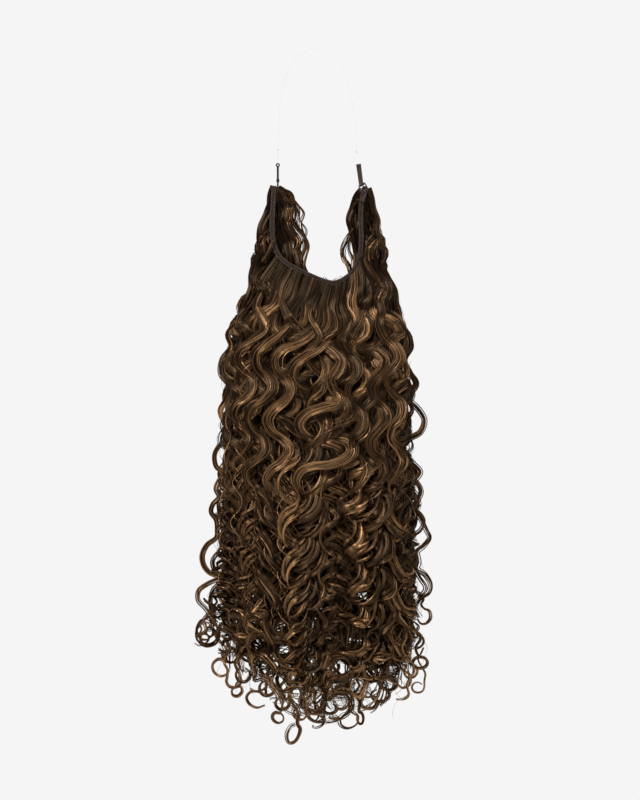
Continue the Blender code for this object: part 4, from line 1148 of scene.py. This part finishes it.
def front_curls(out):
    """The broad locks on the front: they come forward as they swing to the left and go back again."""
    for row, (width, tone, points) in enumerate(FRONT_ROUTES):
        count = 6 * len(points)
        base = traced(points, count)
        t = np.linspace(0, 1, count)
        slope = averaged(heading(base)[:, 0], 8)
        root_y = (2.6 if abs(points[0][0] - 324) > 34 else 0.6) * MM
        lifted = envelope(base[:, 2])[2] + (0.3, 2.6, 1.4)[row % 3] * MM
        base[:, 1] = (ease(t, 0, 0.22, root_y, lifted) + 6.0 * MM * slope * ease(t, 0.12, 0.2)
                      + 9.0 * MM * ease(t, 0.84, 0.16))
        spine = np.stack([averaged(axis, 22) for axis in base.T], axis=1)
        wisps = int(width * 2.6)
        ringlets = 3
        group = np.arange(wisps) * ringlets // wisps
        arc = np.linspace(-1, 1, wisps) + rng.normal(0, 0.10, wisps)
        middle = (group + 0.5) / ringlets * 2 - 1
        late = rng.normal(0, 0.0055, ringlets)[group] + rng.normal(0, 0.0022, wisps)
        bold = 1 + rng.normal(0, 0.14, ringlets)[group] + rng.normal(0, 0.05, wisps)
        close = ease(t, 0.35, 0.4, 1.0, 0.55)
        broad = width * MM * ease(t, 0, 0.2, 0.5, 1.0) * ease(t, 0.75, 0.25, 1.0, 0.4)
        broad = broad * (1 - 0.35 * np.abs(slope))
        lift = 0.34 * np.sqrt(np.clip(1 - 0.9 * arc**2, 0, 1)) * rng.uniform(0.0, 1.0, wisps)
        paths = []
        for i in range(wisps):
            when = np.clip(t + late[i] * smooth(t / 0.3), 0, 1)
            swing = ease(t, 0.1, 0.3, 1.0, bold[i])
            path = np.stack([np.interp(when, t, curl) * swing + np.interp(when, t, middle_line)
                             for curl, middle_line in zip((base - spine).T, spine.T)], axis=1)
            across = beside(heading(path))
            sway = rng.normal(0, 0.8 * MM) * np.sin(t * rng.uniform(12, 34) + arc[i] * 9) * smooth(t / 0.3)
            path += across * ((middle[i] + (arc[i] - middle[i]) * close) * broad / 2 + sway)[:, None]
            path[:, 1] -= lift[i] * broad
            paths.append(path)
        taper = ease(t, 0, 0.1, 0.8, 1.0) * ease(t, 0.8, 0.2, 1.0, 0.5)
        # Tones vary at random, and strands towards the lock's edges get painted shade.
        tones = tone + rng.normal(0, 0.17, wisps) + 0.20 * (rng.random(wisps) < 0.16) - 0.18 * arc**2
        # Painted shade darkens the roots below the band; painted light brightens the stretches that come
        # forward as they swing to the left, and painted shade darkens those that go back.
        tones = (tones[:, None] - ease(t, 0, 0.17, 0.34, 0.0) - 0.15 * slope * smooth(t / 0.25)
                 + 0.06 * np.sin(t * 19 + tone * 40))
        cup = arc * 0.6 + rng.normal(0, 0.25, wisps)
        face = np.stack([np.sin(cup), -np.cos(cup), 0 * cup], axis=1)
        out.add(np.array(paths), 0.31 * MM * taper * rng.uniform(0.55, 1.45, (wisps, 1)), 2,
                np.clip(tones, DARKEST, LIGHTEST), face=face, pull=0.5)
        # The core beneath the wisps is painted darker, as shade inside the lock.
        out.add(base[None] + np.array([0.0, 0.8 * MM, 0.0]), 0.34 * broad, 6, max(0.05, tone - 0.32),
                flat=0.4, face=TO_FRONT)


def foot_loops(out):
    """Strands that come down in waves and end in open loops at the foot and the sides."""
    for x, y, rx, ry, start, sweep, from_x, from_y, wisps in LOOPS:
        steps = max(6, int(abs(sweep) / LOOP_STEP_DEGREES))
        t = np.linspace(0, 1, steps)
        angle = np.radians(start + sweep * t)
        shrink = (1 - 0.12 * t) * (1 + rng.uniform(0.04, 0.14) * np.sin(angle + rng.random() * 6)
                                   + rng.uniform(0.02, 0.08) * np.sin(2 * angle + rng.random() * 6))
        a, d = turned(rx * shrink * np.cos(angle), ry * shrink * np.sin(angle), rng.uniform(-0.4, 0.4))
        loop = np.stack([x + a, y + d], axis=1)
        fall = np.linspace(0, 1, 7)[:-1]
        wave = rng.uniform(3.5, 6.0) * np.sin(fall * rng.uniform(7, 10) + rng.random() * 6) * (1 - 0.6 * fall)
        stem = np.stack([mix(from_x, loop[0, 0], fall) + wave, mix(from_y, loop[0, 1], fall)], axis=1)
        near = rng.uniform(-24, 16) if 228 < x < 408 else rng.uniform(-4, 10)
        route_lock(out, [*stem, *loop], near, 0.36 * wisps, wisps, 0.66 + rng.normal(0, 0.07), wisp=0.60,
                   roll=4.5, rolls=1.6, count=5 * (steps + 6))


def nest(out):
    """The open tangle of single hairs between the lowest curls."""
    t = np.linspace(0, 1, 40)
    for _ in range(NEST_HAIRS):
        x, z = px(rng.uniform(332, 366), rng.uniform(684, 706))
        turn = rng.random() * 6.28 + rng.choice((-1, 1)) * t * rng.uniform(7, 13)
        size = rng.uniform(4, 9) * MM * mix(0.6, 1.0, t)
        path = np.stack([x + size * np.cos(turn), rng.uniform(-12, 12) * MM + 3 * MM * np.sin(turn * 0.7),
                         z + size * rng.uniform(0.6, 1.0) * np.sin(turn)], axis=1)
        out.add(path[None], NEST_RADIUS, 3, 0.55)


def frizz(out):
    """Fine hairs that have left their locks and curl on their own over the surface of the mass."""
    for i in range(FRIZZ_HAIRS):
        around = rng.random() * TURN
        u, v = math.cos(around), math.sin(around)
        if i % 2:
            u, v = rng.uniform(-0.95, 0.95), -1.0
        top = px_z(rng.uniform(320, 560))
        foot = max(top - rng.uniform(0.08, 0.16), tip_height(u) - 4 * PIXEL)
        z = np.linspace(top, foot, int((top - foot) / 0.0024))
        square = max(abs(u), abs(v))
        x, y = column(u / square**0.5, v / square**0.5, z, rng.uniform(1.0, 4.0) * MM)
        size = rng.uniform(4.0, 8.0) * MM
        turn = rng.random() * 6.28 - z * TURN / rng.uniform(0.026, 0.040)
        turn = turn + 0.8 * np.sin(z / 0.03 + rng.random() * 6)
        lean = rng.uniform(-1.0, 1.0)
        ends = smooth(np.linspace(0, 1, len(z)) / 0.15)
        path = np.stack([x + size * ends * np.cos(turn) - u * size,
                         y + size * 0.7 * math.cos(lean) * np.sin(turn) - v * size * 0.4,
                         z + size * math.sin(lean) * np.sin(turn)], axis=1)
        out.add(path[None], FRIZZ_RADIUS, 2, np.clip(0.50 + rng.normal(0, 0.14), 0, 1),
                face=(u * 0.7, v - 0.3, 0.2))


def fly_aways(out):
    """Single hairs that stand off the sides and the foot of the mass."""
    paths = []
    t = np.linspace(0, 1, 40)
    for i in range(FLY_AWAYS):
        side = rng.choice((-1, 1))
        low = i % 4 == 0
        z0 = px_z(rng.uniform(640, 680) if low else rng.uniform(280, 640))
        left, right, front, back = envelope(z0)
        u = rng.uniform(-0.8, 0.8) if low else side * rng.uniform(0.93, 0.99)
        reach = rng.uniform(22, 40) * MM
        turn = rng.random() * 6.28 + side * t * TURN * reach / (26 * MM) * rng.uniform(0.5, 1.1)
        swing = rng.uniform(2.5, 4.5) * MM * smooth(t / 0.3)
        paths.append(np.stack([(left + right) / 2 + u * (right - left) / 2 + swing * np.cos(turn),
                               mix(front, back, rng.random()) + swing * np.sin(turn),
                               z0 - reach * t + (0.8 if low else 0.3) * swing * np.sin(turn)], axis=1))
    out.add(np.array(paths), FLY_AWAY_RADIUS * (1 - 0.5 * t), 3, 0.5)


def make_hair():
    material = hair_material()

    def group(name, nodes, *makers):
        """One piece, from makers that are each given with their further arguments."""
        out = Strands()
        for maker, *rest in makers:
            maker(out, *rest)
        dress(out.build(name, material), "hair", *nodes)

    group("front_locks_left", ["hair_front"], (front_locks, -2.0, 0.0))
    group("front_locks_right", ["hair_front"], (front_locks, 0.0, 2.0))
    group("front_curls", ["hair_front"], (front_curls,))
    group("back_locks", ["hair_back"], (back_locks,))
    group("core_locks", [], (inner_locks,))
    for name, side in (("left", -1), ("right", 1)):
        group(name + "_locks", ["hair_" + name], (side_locks, side))
        group(name + "_placed_locks", ["hair_" + name], (placed_locks, name))
    group("foot_loops", [], (foot_loops,), (nest,))
    group("frizz", [], (frizz,))
    group("fly_aways", [], (fly_aways,))


make_camera()
make_wire()
make_world()
make_lights()
make_floor()
make_thread_loop()
make_straps()
dress_slider()
make_band()
make_hair()
